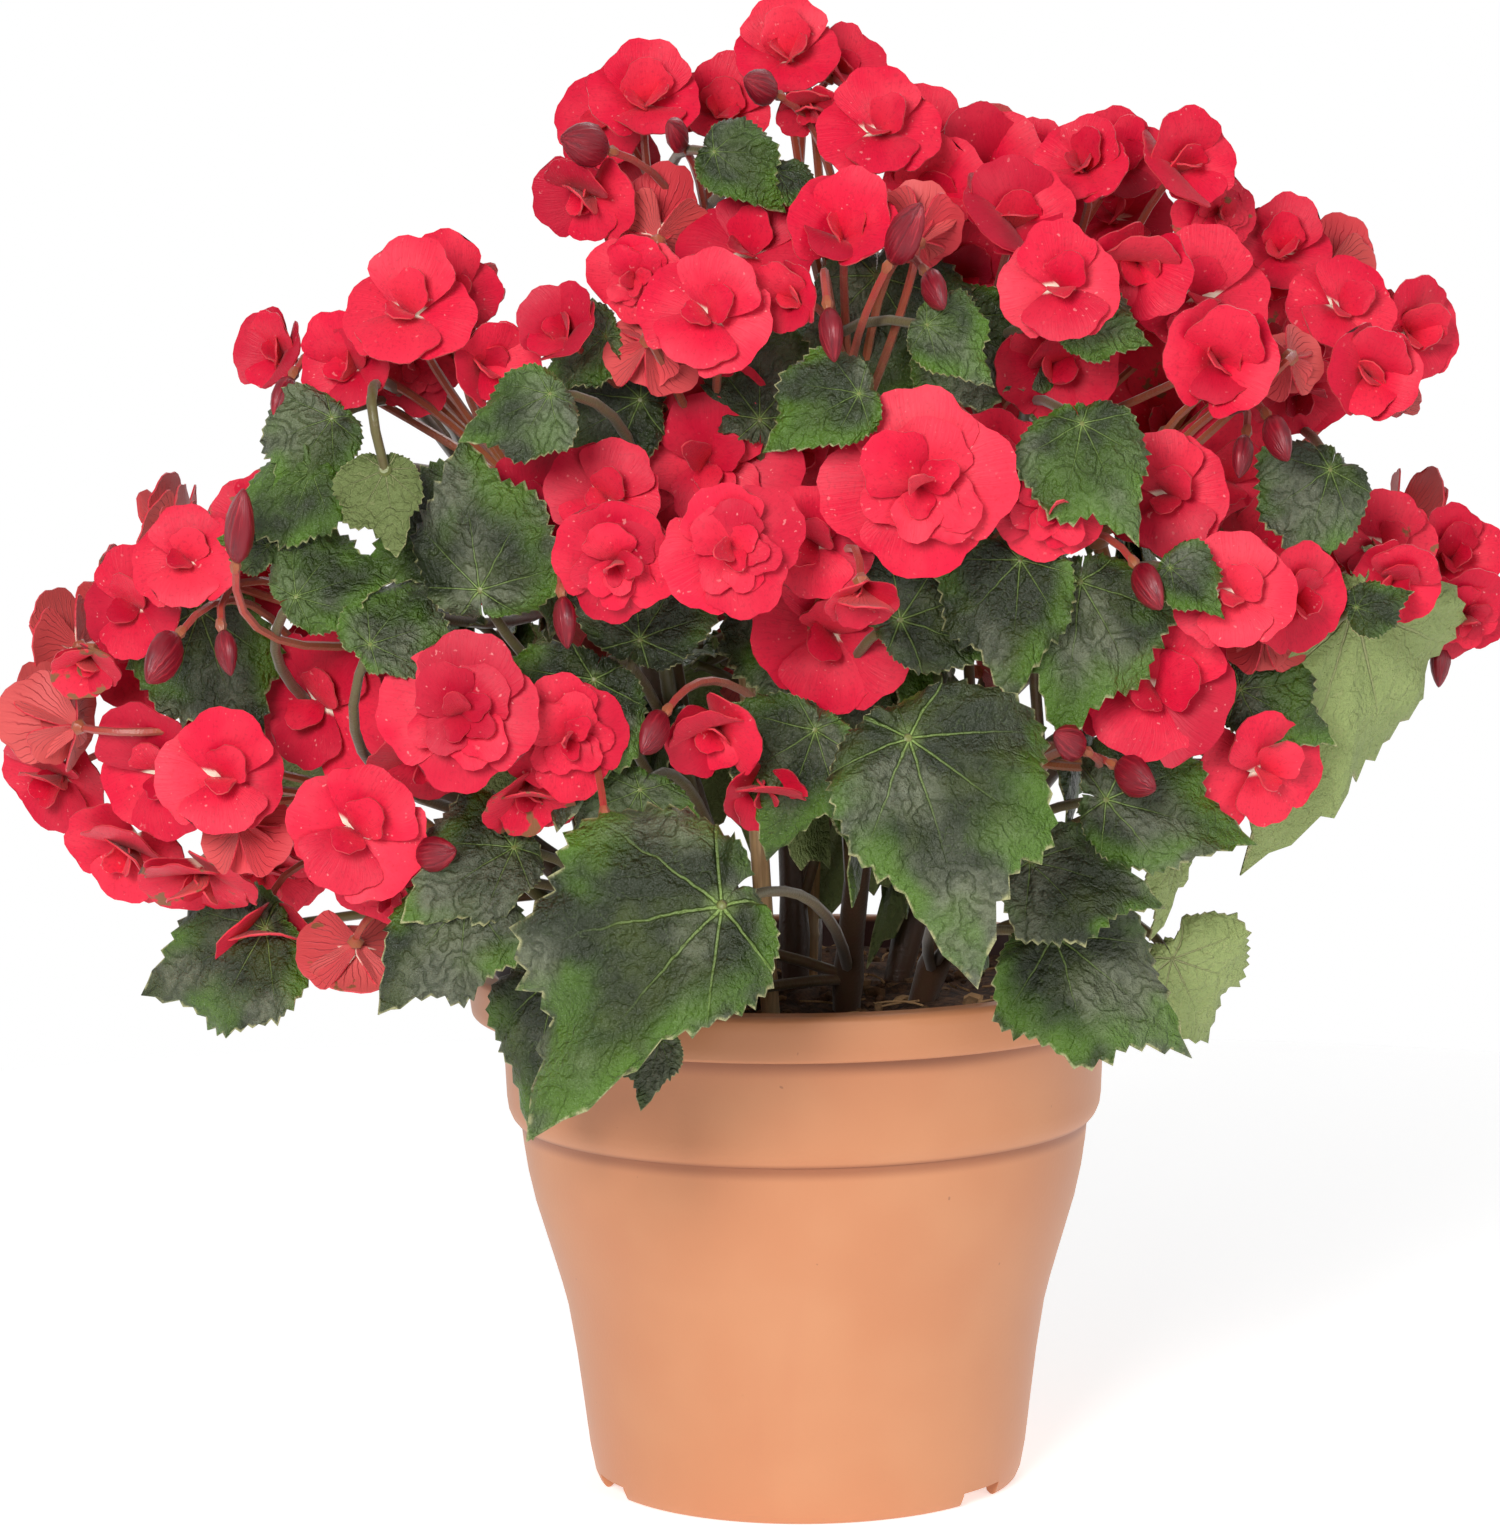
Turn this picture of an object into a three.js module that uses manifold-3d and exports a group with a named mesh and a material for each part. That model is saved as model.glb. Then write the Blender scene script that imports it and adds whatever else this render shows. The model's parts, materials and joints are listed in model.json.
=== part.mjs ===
import * as THREE from "three";
import Module from "manifold-3d";

// Potted begonia, in millimetres, +Z up, the viewer at -Y. Every piece is laid out round the pot's
// axis, and the whole group is then moved so that the origin is under the middle of the plant.

const wasm = await Module();
wasm.setup();
const { Manifold, Mesh: SolidMesh } = wasm;

// Driving sizes.

const POT_AXIS_X = 12.2; // the plant leans to the left of its pot by this much
const POT_AXIS_Y = 6;
const CLEARANCE = 0.35; // between two nodes
const PETAL_THICK = 0.9;
const LEAF_THICK = 0.9;
const POT_SIDES = 24;
const SOIL_TOP = 139.5;

// The viewpoint that the rows below were read from: pixels of a picture 1500 wide and 1529 high.

const VIEW = {
  middleX: 750,
  middleY: 764.5,
  focal: 5673, // in pixels
  distance: 1600,
  height: 404,
  sideways: -14.3,
  pitch: (7.06 * Math.PI) / 180,
  roll: (-0.69 * Math.PI) / 180,
};

// The dome that the blooms fill, round the pot's axis.

const DOME = { x: -14, z: 268, radiusX: 226, radiusY: 168, radiusZ: 172 };
const KNOT = 5; // half of the joint of eight faces where a spray forks
const PEDUNCLE = 14; // from the branch's end to the joint
const HEART = new THREE.Vector3(0, 0, 205); // where the sprays come from, roughly

const seen = (px, py, near) => {
  const across = px - VIEW.middleX;
  const down = py - VIEW.middleY;
  const u = across * Math.cos(VIEW.roll) + down * Math.sin(VIEW.roll);
  const v = down * Math.cos(VIEW.roll) - across * Math.sin(VIEW.roll);
  const slope = v / VIEW.focal;
  const cos = Math.cos(VIEW.pitch);
  const sin = Math.sin(VIEW.pitch);
  const far = VIEW.distance - near;
  const drop = (-far * (sin + slope * cos)) / (cos - slope * sin);
  const along = far * cos - drop * sin;
  return new THREE.Vector3(VIEW.sideways + (u / VIEW.focal) * along, -near, VIEW.height + drop);
};

const domeNear = (px, py) => {
  const flat = seen(px, py, 0);
  const x = (flat.x - DOME.x) / DOME.radiusX;
  const z = (flat.z - DOME.z) / DOME.radiusZ;
  return DOME.radiusY * Math.sqrt(Math.max(0.04, 1 - x * x - z * z));
};

// Where a point shows in the picture: the reverse of seen.
const shown = ({ x, y, z }) => {
  const far = VIEW.distance + y;
  const drop = z - VIEW.height;
  const along = far * Math.cos(VIEW.pitch) - drop * Math.sin(VIEW.pitch);
  const u = ((x - VIEW.sideways) * VIEW.focal) / along;
  const v = (-(drop * Math.cos(VIEW.pitch) + far * Math.sin(VIEW.pitch)) * VIEW.focal) / along;
  return [
    VIEW.middleX + u * Math.cos(VIEW.roll) - v * Math.sin(VIEW.roll),
    VIEW.middleY + u * Math.sin(VIEW.roll) + v * Math.cos(VIEW.roll),
  ];
};

// Seeded random numbers.

const seeded = (seed) => {
  let state = seed >>> 0;
  const next = () => {
    state = (Math.imul(state, 1664525) + 1013904223) >>> 0;
    return state / 4294967296;
  };
  next();
  return (low, high) => low + (high - low) * next();
};

// Where a bloom or a leaf looks: its sideways and upward share, and towards the viewer or away.

const facing = (x, z, side) => {
  const rest = Math.max(0, 1 - x * x - z * z);
  return new THREE.Vector3(x, -side * Math.sqrt(rest), z).normalize();
};

// Flower sprays. A spray grows from the cane of that number, at that share of its height. Each bloom
// row holds: picture column, picture row, width, facing sideways, facing up, towards (1) or away
// (-1), millimetres behind the dome, and kind. A bud's width is its length.

const SPRAYS = [
  {
    name: "spray_left_top",
    cane: 1,
    from: 0.9,
    blooms: [
      [181, 552, 32, -0.15, 0.35, 1, 0, "open"],
      [258, 518, 30, -0.2, 0.4, 1, 34, "plain"],
      [270, 575, 28, -0.2, 0, 1, 38, "plain"],
      [236, 562, 22, 0.15, 0.9, 1, -6, "folded"],
      [222, 630, 13, 0.2, -0.9, 1, 10, "bud"],
    ],
  },
  {
    name: "spray_left_edge",
    cane: 0,
    from: 0.95,
    blooms: [
      [118, 604, 36, -0.5, 0.2, 1, 8, "open"],
      [54, 640, 30, -0.8, 0.15, -1, 14, "plain"],
      [86, 668, 22, -0.1, -0.6, 1, 6, "cup"],
      [54, 720, 34, -0.7, 0.1, -1, 4, "cup"],
      [42, 788, 36, -0.5, -0.3, 1, 16, "plain"],
      [148, 664, 36, 0, -0.1, 1, 34, "plain"],
      [178, 636, 18, -0.4, -0.6, 1, -8, "bud"],
    ],
  },
  {
    name: "spray_left_low",
    cane: 0,
    from: 0.75,
    blooms: [
      [146, 778, 42, -0.4, -0.1, 1, 12, "open"],
      [220, 775, 36, 0.05, 0.2, 1, -4, "open"],
      [120, 864, 38, -0.3, -0.4, 1, 8, "plain"],
      [196, 898, 36, -0.2, -0.8, 1, 4, "plain"],
      [246, 834, 28, 0.1, -0.5, -1, 12, "cup"],
    ],
  },
  {
    name: "spray_left_under",
    cane: 0,
    from: 0.6,
    blooms: [
      [352, 832, 40, 0, 0.1, 1, -6, "open"],
      [266, 890, 38, 0.1, -0.5, 1, 14, "plain"],
      [268, 936, 34, 0, -0.7, 1, 10, "cup"],
      [388, 900, 30, 0.1, -0.45, 1, 4, "double"],
      [354, 966, 35, -0.1, -0.7, -1, 10, "plain"],
      [416, 857, 14, 0.8, 0.2, 1, 6, "bud"],
    ],
  },
  {
    name: "spray_left_middle",
    cane: 2,
    from: 0.8,
    blooms: [
      [300, 704, 44, -0.45, 0.1, 1, 10, "open"],
      [364, 710, 30, 0.4, -0.2, 1, 28, "plain"],
      [456, 712, 44, -0.1, 0.15, 1, -4, "double"],
      [432, 776, 36, 0.1, -0.7, 1, 26, "plain"],
      [568, 740, 34, 0.05, 0.05, 1, 4, "double"],
      [528, 802, 26, 0.1, -0.7, 1, 20, "cup"],
      [605, 818, 14, 0.1, -0.9, 1, 8, "bud"],
      [330, 648, 26, 0.2, 0.3, 1, 40, "plain"],
    ],
  },
  {
    name: "spray_upper_left",
    cane: 1,
    from: 1,
    blooms: [
      [402, 296, 37, -0.1, 0.5, 1, 0, "open"],
      [456, 286, 28, 0.2, 0.6, 1, 14, "plain"],
      [340, 364, 30, -0.5, 0.2, 1, 6, "plain"],
      [268, 350, 25, -0.6, 0.3, 1, 18, "cup"],
      [414, 362, 32, 0.1, 0, 1, 10, "double"],
      [492, 364, 26, 0.5, 0.1, 1, 12, "cup"],
      [292, 378, 14, -0.3, -0.8, 1, 14, "bud"],
    ],
  },
  {
    name: "spray_top_left",
    cane: 4,
    from: 0.8,
    blooms: [
      [648, 88, 32, 0.1, 0.55, 1, 4, "plain"],
      [592, 112, 30, -0.5, 0.35, 1, 10, "open"],
      [606, 158, 32, -0.5, -0.3, 1, 22, "plain"],
      [577, 204, 28, -0.5, -0.3, 1, 8, "plain"],
      [722, 102, 28, 0.1, 0.5, 1, 14, "plain"],
      [608, 150, 17, -0.7, 0.2, 1, -4, "bud"],
      [684, 146, 13, -0.3, 0.5, 1, 12, "bud"],
    ],
  },
  {
    name: "spray_top",
    cane: 4,
    from: 1,
    blooms: [
      [788, 42, 31, 0, 0.6, 1, 4, "plain"],
      [848, 62, 24, 0.6, 0.5, 1, 10, "cup"],
      [810, 116, 20, 0, -0.6, 1, 14, "plain"],
      [878, 116, 34, 0, 0.5, 1, 0, "open"],
      [924, 140, 30, 0.2, 0.45, 1, 22, "plain"],
      [936, 186, 32, 0.05, 0.4, 1, 4, "cup"],
      [776, 94, 14, -0.6, 0.3, 1, 6, "bud"],
    ],
  },
  {
    name: "spray_upper_middle",
    cane: 2,
    from: 1,
    blooms: [
      [654, 222, 30, -0.1, 0.5, -1, 8, "plain"],
      [630, 280, 26, -0.2, -0.1, 1, 2, "double"],
      [702, 304, 36, -0.15, 0.35, 1, -4, "open"],
      [652, 352, 26, 0.1, -0.4, -1, 14, "cup"],
      [744, 236, 38, -0.1, 0.5, 1, 10, "open"],
      [560, 326, 27, -0.35, 0.5, 1, 8, "cup"],
    ],
  },
  {
    name: "spray_upper_centre",
    cane: 4,
    from: 0.65,
    blooms: [
      [844, 222, 32, 0, 0.6, 1, -2, "cup"],
      [918, 228, 27, 0.05, 0.4, -1, 6, "cup"],
      [890, 262, 20, 0.4, 0.75, 1, -10, "folded"],
      [786, 298, 22, -0.5, 0.1, 1, 0, "cup"],
      [828, 308, 15, 0.1, -0.9, 1, -4, "bud"],
      [962, 280, 34, 0.2, 0, 1, 18, "plain"],
      [926, 274, 14, 0.3, -0.6, 1, -4, "bud"],
    ],
  },
  {
    name: "spray_centre_left",
    cane: 2,
    from: 0.7,
    blooms: [
      [602, 492, 32, -0.1, 0.25, 1, 2, "open"],
      [596, 434, 36, -0.4, 0.35, 1, 24, "plain"],
      [516, 512, 38, -0.35, 0.15, 1, 4, "open"],
      [508, 580, 24, -0.1, -0.7, 1, 16, "cup"],
      [562, 596, 14, 0.1, -0.95, 1, 6, "bud"],
      [612, 568, 36, -0.1, -0.15, 1, 0, "double"],
      [660, 556, 34, 0.2, 0, 1, 22, "plain"],
    ],
  },
  {
    name: "spray_centre",
    cane: 3,
    from: 0.9,
    blooms: [
      [705, 460, 54, -0.05, 0.12, 1, 6, "double"],
      [732, 548, 38, 0, 0.1, 1, -6, "double"],
      [806, 546, 34, -0.3, 0, 1, 2, "open"],
      [800, 452, 32, 0.2, 0, 1, 36, "plain"],
    ],
  },
  {
    name: "spray_centre_low",
    cane: 3,
    from: 0.7,
    blooms: [
      [830, 642, 48, -0.05, -0.1, 1, 14, "open"],
      [862, 606, 22, 0, -0.8, 1, -2, "cup"],
      [712, 738, 29, -0.1, -0.4, 1, 18, "cup"],
      [765, 798, 26, 0.2, -0.6, 1, 20, "cup"],
      [665, 714, 15, -0.4, -0.6, 1, 16, "bud"],
    ],
  },
  {
    name: "spray_centre_right",
    cane: 3,
    from: 1,
    blooms: [
      [922, 486, 52, 0, 0.05, 1, -4, "double"],
      [1060, 508, 35, 0.2, -0.05, 1, 4, "double"],
      [1000, 470, 32, 0, 0.1, 1, 44, "plain"],
      [1136, 566, 15, 0.4, -0.7, 1, 8, "bud"],
    ],
  },
  {
    name: "spray_top_right",
    cane: 6,
    from: 0.85,
    blooms: [
      [984, 166, 34, 0.1, 0.45, 1, 6, "cup"],
      [1034, 158, 24, -0.2, 0.5, 1, 18, "plain"],
      [1076, 156, 28, -0.3, 0.5, 1, 8, "plain"],
      [1126, 152, 30, 0.2, 0.5, 1, 12, "plain"],
      [1110, 206, 34, -0.2, 0.4, 1, 22, "plain"],
      [1018, 212, 34, 0.1, 0.5, 1, 4, "cup"],
      [1062, 282, 35, 0, 0.2, 1, -8, "open"],
    ],
  },
  {
    name: "spray_right_top",
    cane: 6,
    from: 1,
    blooms: [
      [1190, 160, 31, 0.35, 0.4, 1, 0, "cup"],
      [1226, 212, 26, 0.3, 0.1, 1, 4, "double"],
      [1138, 270, 30, 0, -0.3, 1, 4, "cup"],
      [1130, 322, 32, -0.2, -0.1, 1, 28, "plain"],
      [1208, 286, 36, 0.1, 0.35, 1, 4, "open"],
      [1220, 358, 33, 0.05, 0.15, 1, -8, "cup"],
    ],
  },
  {
    name: "spray_right_high",
    cane: 6,
    from: 0.95,
    blooms: [
      [1284, 242, 29, 0.1, 0.45, 1, 10, "plain"],
      [1334, 262, 29, 0.3, 0.4, -1, 16, "plain"],
      [1276, 282, 30, 0.15, 0.2, 1, 14, "plain"],
      [1350, 298, 32, 0.25, 0.4, 1, 6, "open"],
      [1422, 332, 34, 0.4, 0.1, 1, 8, "plain"],
      [1370, 372, 30, 0.05, 0.1, 1, -8, "cup"],
    ],
  },
  {
    name: "spray_right_middle",
    cane: 5,
    from: 0.95,
    blooms: [
      [1284, 362, 24, -0.1, -0.2, -1, 4, "cup"],
      [1312, 350, 28, 0.3, 0, 1, 14, "plain"],
      [1302, 404, 30, 0.2, -0.5, 1, 8, "plain"],
      [1170, 420, 42, 0, 0.2, 1, 36, "plain"],
      [1164, 494, 36, -0.2, 0.1, 1, 20, "open"],
      [1236, 478, 44, 0.15, 0.15, 1, 10, "open"],
      [1268, 418, 15, 0.3, -0.7, 1, 0, "bud"],
      [1246, 436, 13, -0.2, -0.8, 1, 6, "bud"],
    ],
  },
  {
    name: "spray_right_edge",
    cane: 5,
    from: 1,
    blooms: [
      [1388, 538, 31, 0.1, 0.3, 1, 4, "open"],
      [1398, 588, 27, 0.1, -0.2, 1, 2, "plain"],
      [1460, 554, 29, 0.25, 0.3, 1, 6, "plain"],
      [1472, 624, 30, 0.2, -0.3, 1, 4, "double"],
      [1336, 548, 34, 0, 0, 1, 34, "plain"],
      [1442, 638, 14, -0.1, -0.95, 1, 4, "bud"],
    ],
  },
  {
    name: "spray_right_low",
    cane: 5,
    from: 0.8,
    blooms: [
      [1234, 588, 33, -0.1, 0.3, 1, -8, "open"],
      [1274, 550, 32, 0.2, 0.35, 1, 8, "plain"],
      [1308, 602, 32, 0.45, 0, 1, 2, "plain"],
      [1264, 638, 24, 0.1, -0.5, -1, 2, "cup"],
      [1157, 684, 47, 0, 0.2, 1, 0, "open"],
    ],
  },
  {
    name: "spray_right_small",
    cane: 5,
    from: 0.55,
    blooms: [
      [1279, 772, 37, 0.45, 0, 1, 0, "open"],
      [1084, 750, 14, -0.6, 0.4, 1, 10, "bud"],
      [1116, 766, 16, 0.6, -0.3, 1, 6, "bud"],
    ],
  },
  {
    name: "spray_middle_right",
    cane: 6,
    from: 0.6,
    blooms: [
      [1016, 346, 38, 0, 0, 1, 46, "plain"],
      [1060, 366, 36, 0.2, 0, 1, 40, "plain"],
      [998, 372, 36, 0, -0.1, 1, 62, "plain"],
    ],
  },
];

// Sprays that the picture hides: number of sprays round the back, and blooms in each.

const BACK = { sprays: 5, blooms: 5, seed: 41, leaves: 10, inner: 8 };

// Leafy stems. A cane runs through these points, in millimetres from the pot's axis. Each leaf row
// holds: picture column and row of its junction, length, direction on the picture in degrees
// anticlockwise from the right, facing sideways, facing up, towards or away, millimetres behind the
// dome, and the share of the cane's height that its stalk comes from.

const CANES = [
  {
    path: [
      [-30, -8, 96],
      [-36, -12, 140],
      [-74, -30, 186],
      [-122, -38, 218],
    ],
    leaves: [
      [296, 597, 27, 20, -0.1, 0.4, 1, 10, 0.95],
      [370, 645, 27, 60, 0.1, 0.5, 1, 10, 0.8],
      [468, 896, 36, 232, -0.2, 0.4, 1, 6, 0.45],
      [514, 848, 34, 218, 0, 0.6, 1, 22, 0.4],
      [266, 928, 40, 202, -0.3, 0.3, 1, 30, 0.6],
      [200, 610, 40, 290, -0.2, 0.2, 1, 42, 1],
    ],
  },
  {
    path: [
      [-22, 20, 96],
      [-26, 24, 142],
      [-66, 34, 236],
      [-104, 34, 306],
    ],
    leaves: [
      [312, 472, 26, 215, -0.2, 0.4, 1, 16, 0.85],
      [332, 418, 26, 240, -0.1, 0.4, 1, 20, 0.95],
      [385, 470, 22, 280, 0.1, -0.3, -1, 18, 0.9],
      [470, 522, 30, 205, -0.1, 0.3, 1, 34, 0.8],
      [268, 546, 14, 160, -0.2, 0.5, 1, 14, 0.75],
      [606, 336, 22, 215, -0.4, 0.3, 1, 30, 1],
    ],
  },
  {
    path: [
      [-8, -26, 96],
      [-12, -30, 142],
      [-34, -52, 214],
      [-48, -64, 268],
    ],
    leaves: [
      [550, 394, 24, 205, -0.1, 0.35, 1, 2, 0.95],
      [480, 590, 38, 100, -0.2, 0.1, 1, 22, 0.7],
      [640, 640, 34, 60, 0, 0.3, 1, 40, 0.6],
      [594, 680, 38, 255, -0.1, 0.15, 1, 38, 0.6],
      [640, 790, 30, 240, 0, 0.2, 1, 34, 0.45],
    ],
  },
  {
    path: [
      [12, -24, 96],
      [12, -30, 142],
      [18, -60, 206],
      [26, -78, 256],
    ],
    leaves: [
      [722, 905, 71, 231, -0.12, 0.42, 1, -22, 0.3],
      [560, 975, 42, 258, -0.45, 0.3, 1, 12, 0.2],
      [660, 1040, 17, 255, 0, 0.4, 1, -12, 0.15],
      [908, 738, 56, 284, 0.1, 0.4, 1, -10, 0.6],
      [859, 394, 26, 210, 0, 0.45, 1, 4, 1],
      [900, 620, 40, 20, 0.1, 0.2, 1, 30, 0.75],
      [815, 730, 34, 250, 0.05, 0.1, 1, 36, 0.5],
    ],
  },
  {
    path: [
      [-2, 8, 96],
      [-2, 10, 144],
      [-4, 14, 246],
      [-2, 12, 350],
    ],
    leaves: [
      [714, 152, 21, 320, 0, 0.35, 1, 0, 0.95],
      [776, 172, 15, 330, 0.2, 0.6, 1, 10, 1],
      [927, 325, 21, 318, 0.1, 0.35, 1, -2, 0.75],
      [760, 420, 34, 90, 0, 0.3, 1, 52, 0.6],
      [876, 276, 40, 265, 0, 0.2, 1, 44, 0.9],
      [950, 320, 32, 330, 0.1, 0.3, 1, 46, 0.85],
      [640, 400, 34, 170, -0.2, 0.2, 1, 50, 0.7],
    ],
  },
  {
    path: [
      [30, -14, 96],
      [34, -18, 142],
      [66, -44, 206],
      [110, -46, 250],
    ],
    leaves: [
      [1055, 936, 44, 318, 0.12, 0.45, 1, -8, 0.1],
      [1172, 958, 34, 300, 0.35, -0.35, 1, 6, 0.15],
      [1030, 862, 34, 345, 0.1, 0.6, 1, 4, 0.35],
      [1106, 800, 38, 346, 0.1, 0.35, 1, 14, 0.5],
      [1178, 852, 22, 255, 0.85, -0.1, 1, 20, 0.4],
      [1170, 568, 17, 315, 0, 0.4, 1, 2, 0.85],
      [1020, 560, 34, 265, 0, 0.4, 1, 24, 0.7],
      [1080, 582, 40, 262, 0.1, 0.3, 1, 24, 0.8],
    ],
  },
  {
    path: [
      [24, 18, 96],
      [28, 22, 142],
      [62, 28, 236],
      [98, 22, 318],
    ],
    leaves: [
      [1082, 424, 32, 292, 0.1, 0.35, 1, 6, 0.8],
      [1070, 320, 21, 345, 0.1, 0.3, 1, 12, 0.9],
      [1330, 470, 30, 250, 0.2, 0.3, 1, 6, 1],
      [1352, 606, 70, 260, 0.6, -0.2, 1, 18, 0.6],
      [1356, 608, 15, 20, 0, 0.4, 1, 2, 0.7],
      [1240, 690, 26, 330, 0, 0.3, 1, 26, 0.5],
    ],
  },
  {
    path: [
      [2, 32, 96],
      [2, 38, 144],
      [0, 74, 220],
      [-2, 100, 280],
    ],
    leaves: [],
  },
];

// Bamboo sticks: foot and tip, in millimetres from the pot's axis.

const STAKES = [
  { foot: [-5, -34, 60], tip: [-16, -50, 262], radius: 2.6 },
  { foot: [-40, 30, 60], tip: [-66, 40, 286], radius: 2.5 },
  { foot: [-1, 20, 60], tip: [8, 26, 296], radius: 2.4 },
];

// Solids from points and faces.

const solid = (points, faces) => {
  const flat = new Float32Array(points.length * 3);
  points.forEach((p, i) => flat.set([p.x, p.y, p.z], i * 3));
  return new Manifold(
    new SolidMesh({ numProp: 3, vertProperties: flat, triVerts: new Uint32Array(faces.flat()) }),
  );
};

const join = (list) => Manifold.union(list);

// A round stalk along points, with a radius at each; extra makes it fatter and longer all round.
const tube = (points, radii, sides, extra = 0) => {
  const count = points.length;
  const path = points.map((p) => p.clone());
  const first = path[1].clone().sub(path[0]).normalize();
  const last = path[count - 1].clone().sub(path[count - 2]).normalize();
  path[0].addScaledVector(first, -extra);
  path[count - 1].addScaledVector(last, extra);
  let side = new THREE.Vector3(1, 0, 0);
  if (Math.abs(first.x) > 0.8) side = new THREE.Vector3(0, 1, 0);
  const rim = [];
  for (let i = 0; i < count; i += 1) {
    const before = path[Math.max(0, i - 1)];
    const after = path[Math.min(count - 1, i + 1)];
    const along = after.clone().sub(before).normalize();
    side.addScaledVector(along, -side.dot(along)).normalize();
    const other = along.clone().cross(side);
    for (let k = 0; k < sides; k += 1) {
      const angle = (k / sides) * 2 * Math.PI;
      rim.push(
        path[i]
          .clone()
          .addScaledVector(side, (radii[i] + extra) * Math.cos(angle))
          .addScaledVector(other, (radii[i] + extra) * Math.sin(angle)),
      );
    }
  }
  const faces = [];
  for (let i = 0; i < count - 1; i += 1) {
    for (let k = 0; k < sides; k += 1) {
      const a = i * sides + k;
      const b = i * sides + ((k + 1) % sides);
      faces.push([a, b, b + sides], [a, b + sides, a + sides]);
    }
  }
  const end = (count - 1) * sides;
  for (let k = 1; k < sides - 1; k += 1) {
    faces.push([0, k + 1, k], [end, end + k, end + k + 1]);
  }
  return solid(rim, faces);
};

const knot = (at, radius) => {
  const tips = [
    [1, 0, 0],
    [0, 1, 0],
    [-1, 0, 0],
    [0, -1, 0],
  ].map(([x, y, z]) => new THREE.Vector3(x, y, z).multiplyScalar(radius).add(at));
  const top = new THREE.Vector3(0, 0, radius).add(at);
  const bottom = new THREE.Vector3(0, 0, -radius).add(at);
  const faces = [0, 1, 2, 3].flatMap((k) => [
    [k, (k + 1) % 4, 4],
    [(k + 1) % 4, k, 5],
  ]);
  return solid([...tips, top, bottom], faces);
};

const bend = (from, over, to, steps) =>
  new THREE.QuadraticBezierCurve3(from, over, to).getPoints(steps);

const taper = (from, to, count) =>
  Array.from({ length: count }, (_, i) => from + ((to - from) * i) / (count - 1));

// Axes of a bloom or leaf: u and v in its plane, n out of its face.
const axesOf = (n, towards) => {
  const u = towards.clone().addScaledVector(n, -towards.dot(n)).normalize();
  return { u, v: n.clone().cross(u), n };
};

// Places a point of a bloom or leaf: angle and radius in its plane, and lift out of it.
const placer = (at, axes) => (angle, radius, lift) =>
  at
    .clone()
    .addScaledVector(axes.u, radius * Math.cos(angle))
    .addScaledVector(axes.v, radius * Math.sin(angle))
    .addScaledVector(axes.n, lift);

const TURN = 2 * Math.PI;
const wrapped = (angle) => ((angle % TURN) + TURN) % TURN;

// Joins a wide ring to a narrow one inside it, both in order of angle, with faces that look up.
const zip = (wide, narrow) => {
  const faces = [];
  const angleAt = (ring, k) => ring[k % ring.length].angle + TURN * Math.floor(k / ring.length);
  const idAt = (ring, k) => ring[k % ring.length].id;
  let i = 0;
  let j = 0;
  while (i < wide.length || j < narrow.length) {
    const wideFirst = angleAt(wide, i + 1) <= angleAt(narrow, j + 1);
    if (j >= narrow.length || (i < wide.length && wideFirst)) {
      faces.push([idAt(wide, i), idAt(wide, i + 1), idAt(narrow, j)]);
      i += 1;
    } else {
      faces.push([idAt(wide, i), idAt(narrow, j + 1), idAt(narrow, j)]);
      j += 1;
    }
  }
  return faces;
};

const turnedOver = (faces) => faces.map(([a, b, c]) => [a, c, b]);

// Joins two rings of the same count, the second further out along the first one's edge.
const band = (low, high) => {
  const faces = [];
  for (let k = 0; k < low.length; k += 1) {
    const next = (k + 1) % low.length;
    const [a, b, c, d] = [low[k].id, low[next].id, high[next].id, high[k].id];
    if (a !== b && b !== c) faces.push([a, b, c]);
    if (a !== d && c !== d) faces.push([a, c, d]);
  }
  return faces;
};

// A blade on its stalk, as one closed mesh with nothing to fuse: the stalk's three sides run along
// its path and open into the blade's underside. Rim rows are angle, radius, lift and whether the
// point is a cut between two lobes, where both faces meet. An inner rim is a smaller cup on top.
const bladeOnStalk = ({ rim, inner, middle, thick, at, axes, path, radii, extra = 0 }) => {
  const place = placer(at, axes);
  const points = [];
  const add = (p, angle) => {
    points.push(p);
    return { id: points.length - 1, angle };
  };
  const byAngle = (rows) =>
    rows.map((row) => [wrapped(row[0]), ...row.slice(1)]).sort((a, b) => a[0] - b[0]);
  const outer = byAngle(rim);
  const top = outer.map(([angle, radius, lift, cut]) =>
    add(place(angle, radius + extra, cut ? lift - thick / 2 : lift + extra), angle),
  );
  const under = outer.map(([angle, radius, lift, cut], k) =>
    cut ? top[k] : add(place(angle, radius + extra, lift - thick - extra), angle),
  );
  const faces = [...band(under, top)];
  if (inner) {
    const rows = byAngle(inner.rim);
    const valley = rows.map(([angle]) =>
      add(place(angle, inner.valley - extra * 0.5, inner.floor + extra), angle),
    );
    const low = rows.map(([angle, radius, lift]) =>
      add(place(angle, radius + extra, lift - thick - extra), angle),
    );
    const high = rows.map(([angle, radius, lift]) =>
      add(place(angle, radius + extra, lift + extra), angle),
    );
    const heart = add(place(0, 0, middle + extra), 0);
    faces.push(...zip(top, valley), ...turnedOver(zip(low, valley)), ...band(low, high));
    high.forEach((p, k) => faces.push([heart.id, p.id, high[(k + 1) % high.length].id]));
  } else {
    const heart = add(place(0, 0, middle + extra), 0);
    top.forEach((p, k) => faces.push([heart.id, p.id, top[(k + 1) % top.length].id]));
  }
  faces.push(...stalkUnder(under, { add, path, radii, axes, extra }));
  return solid(points, faces);
};

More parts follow.
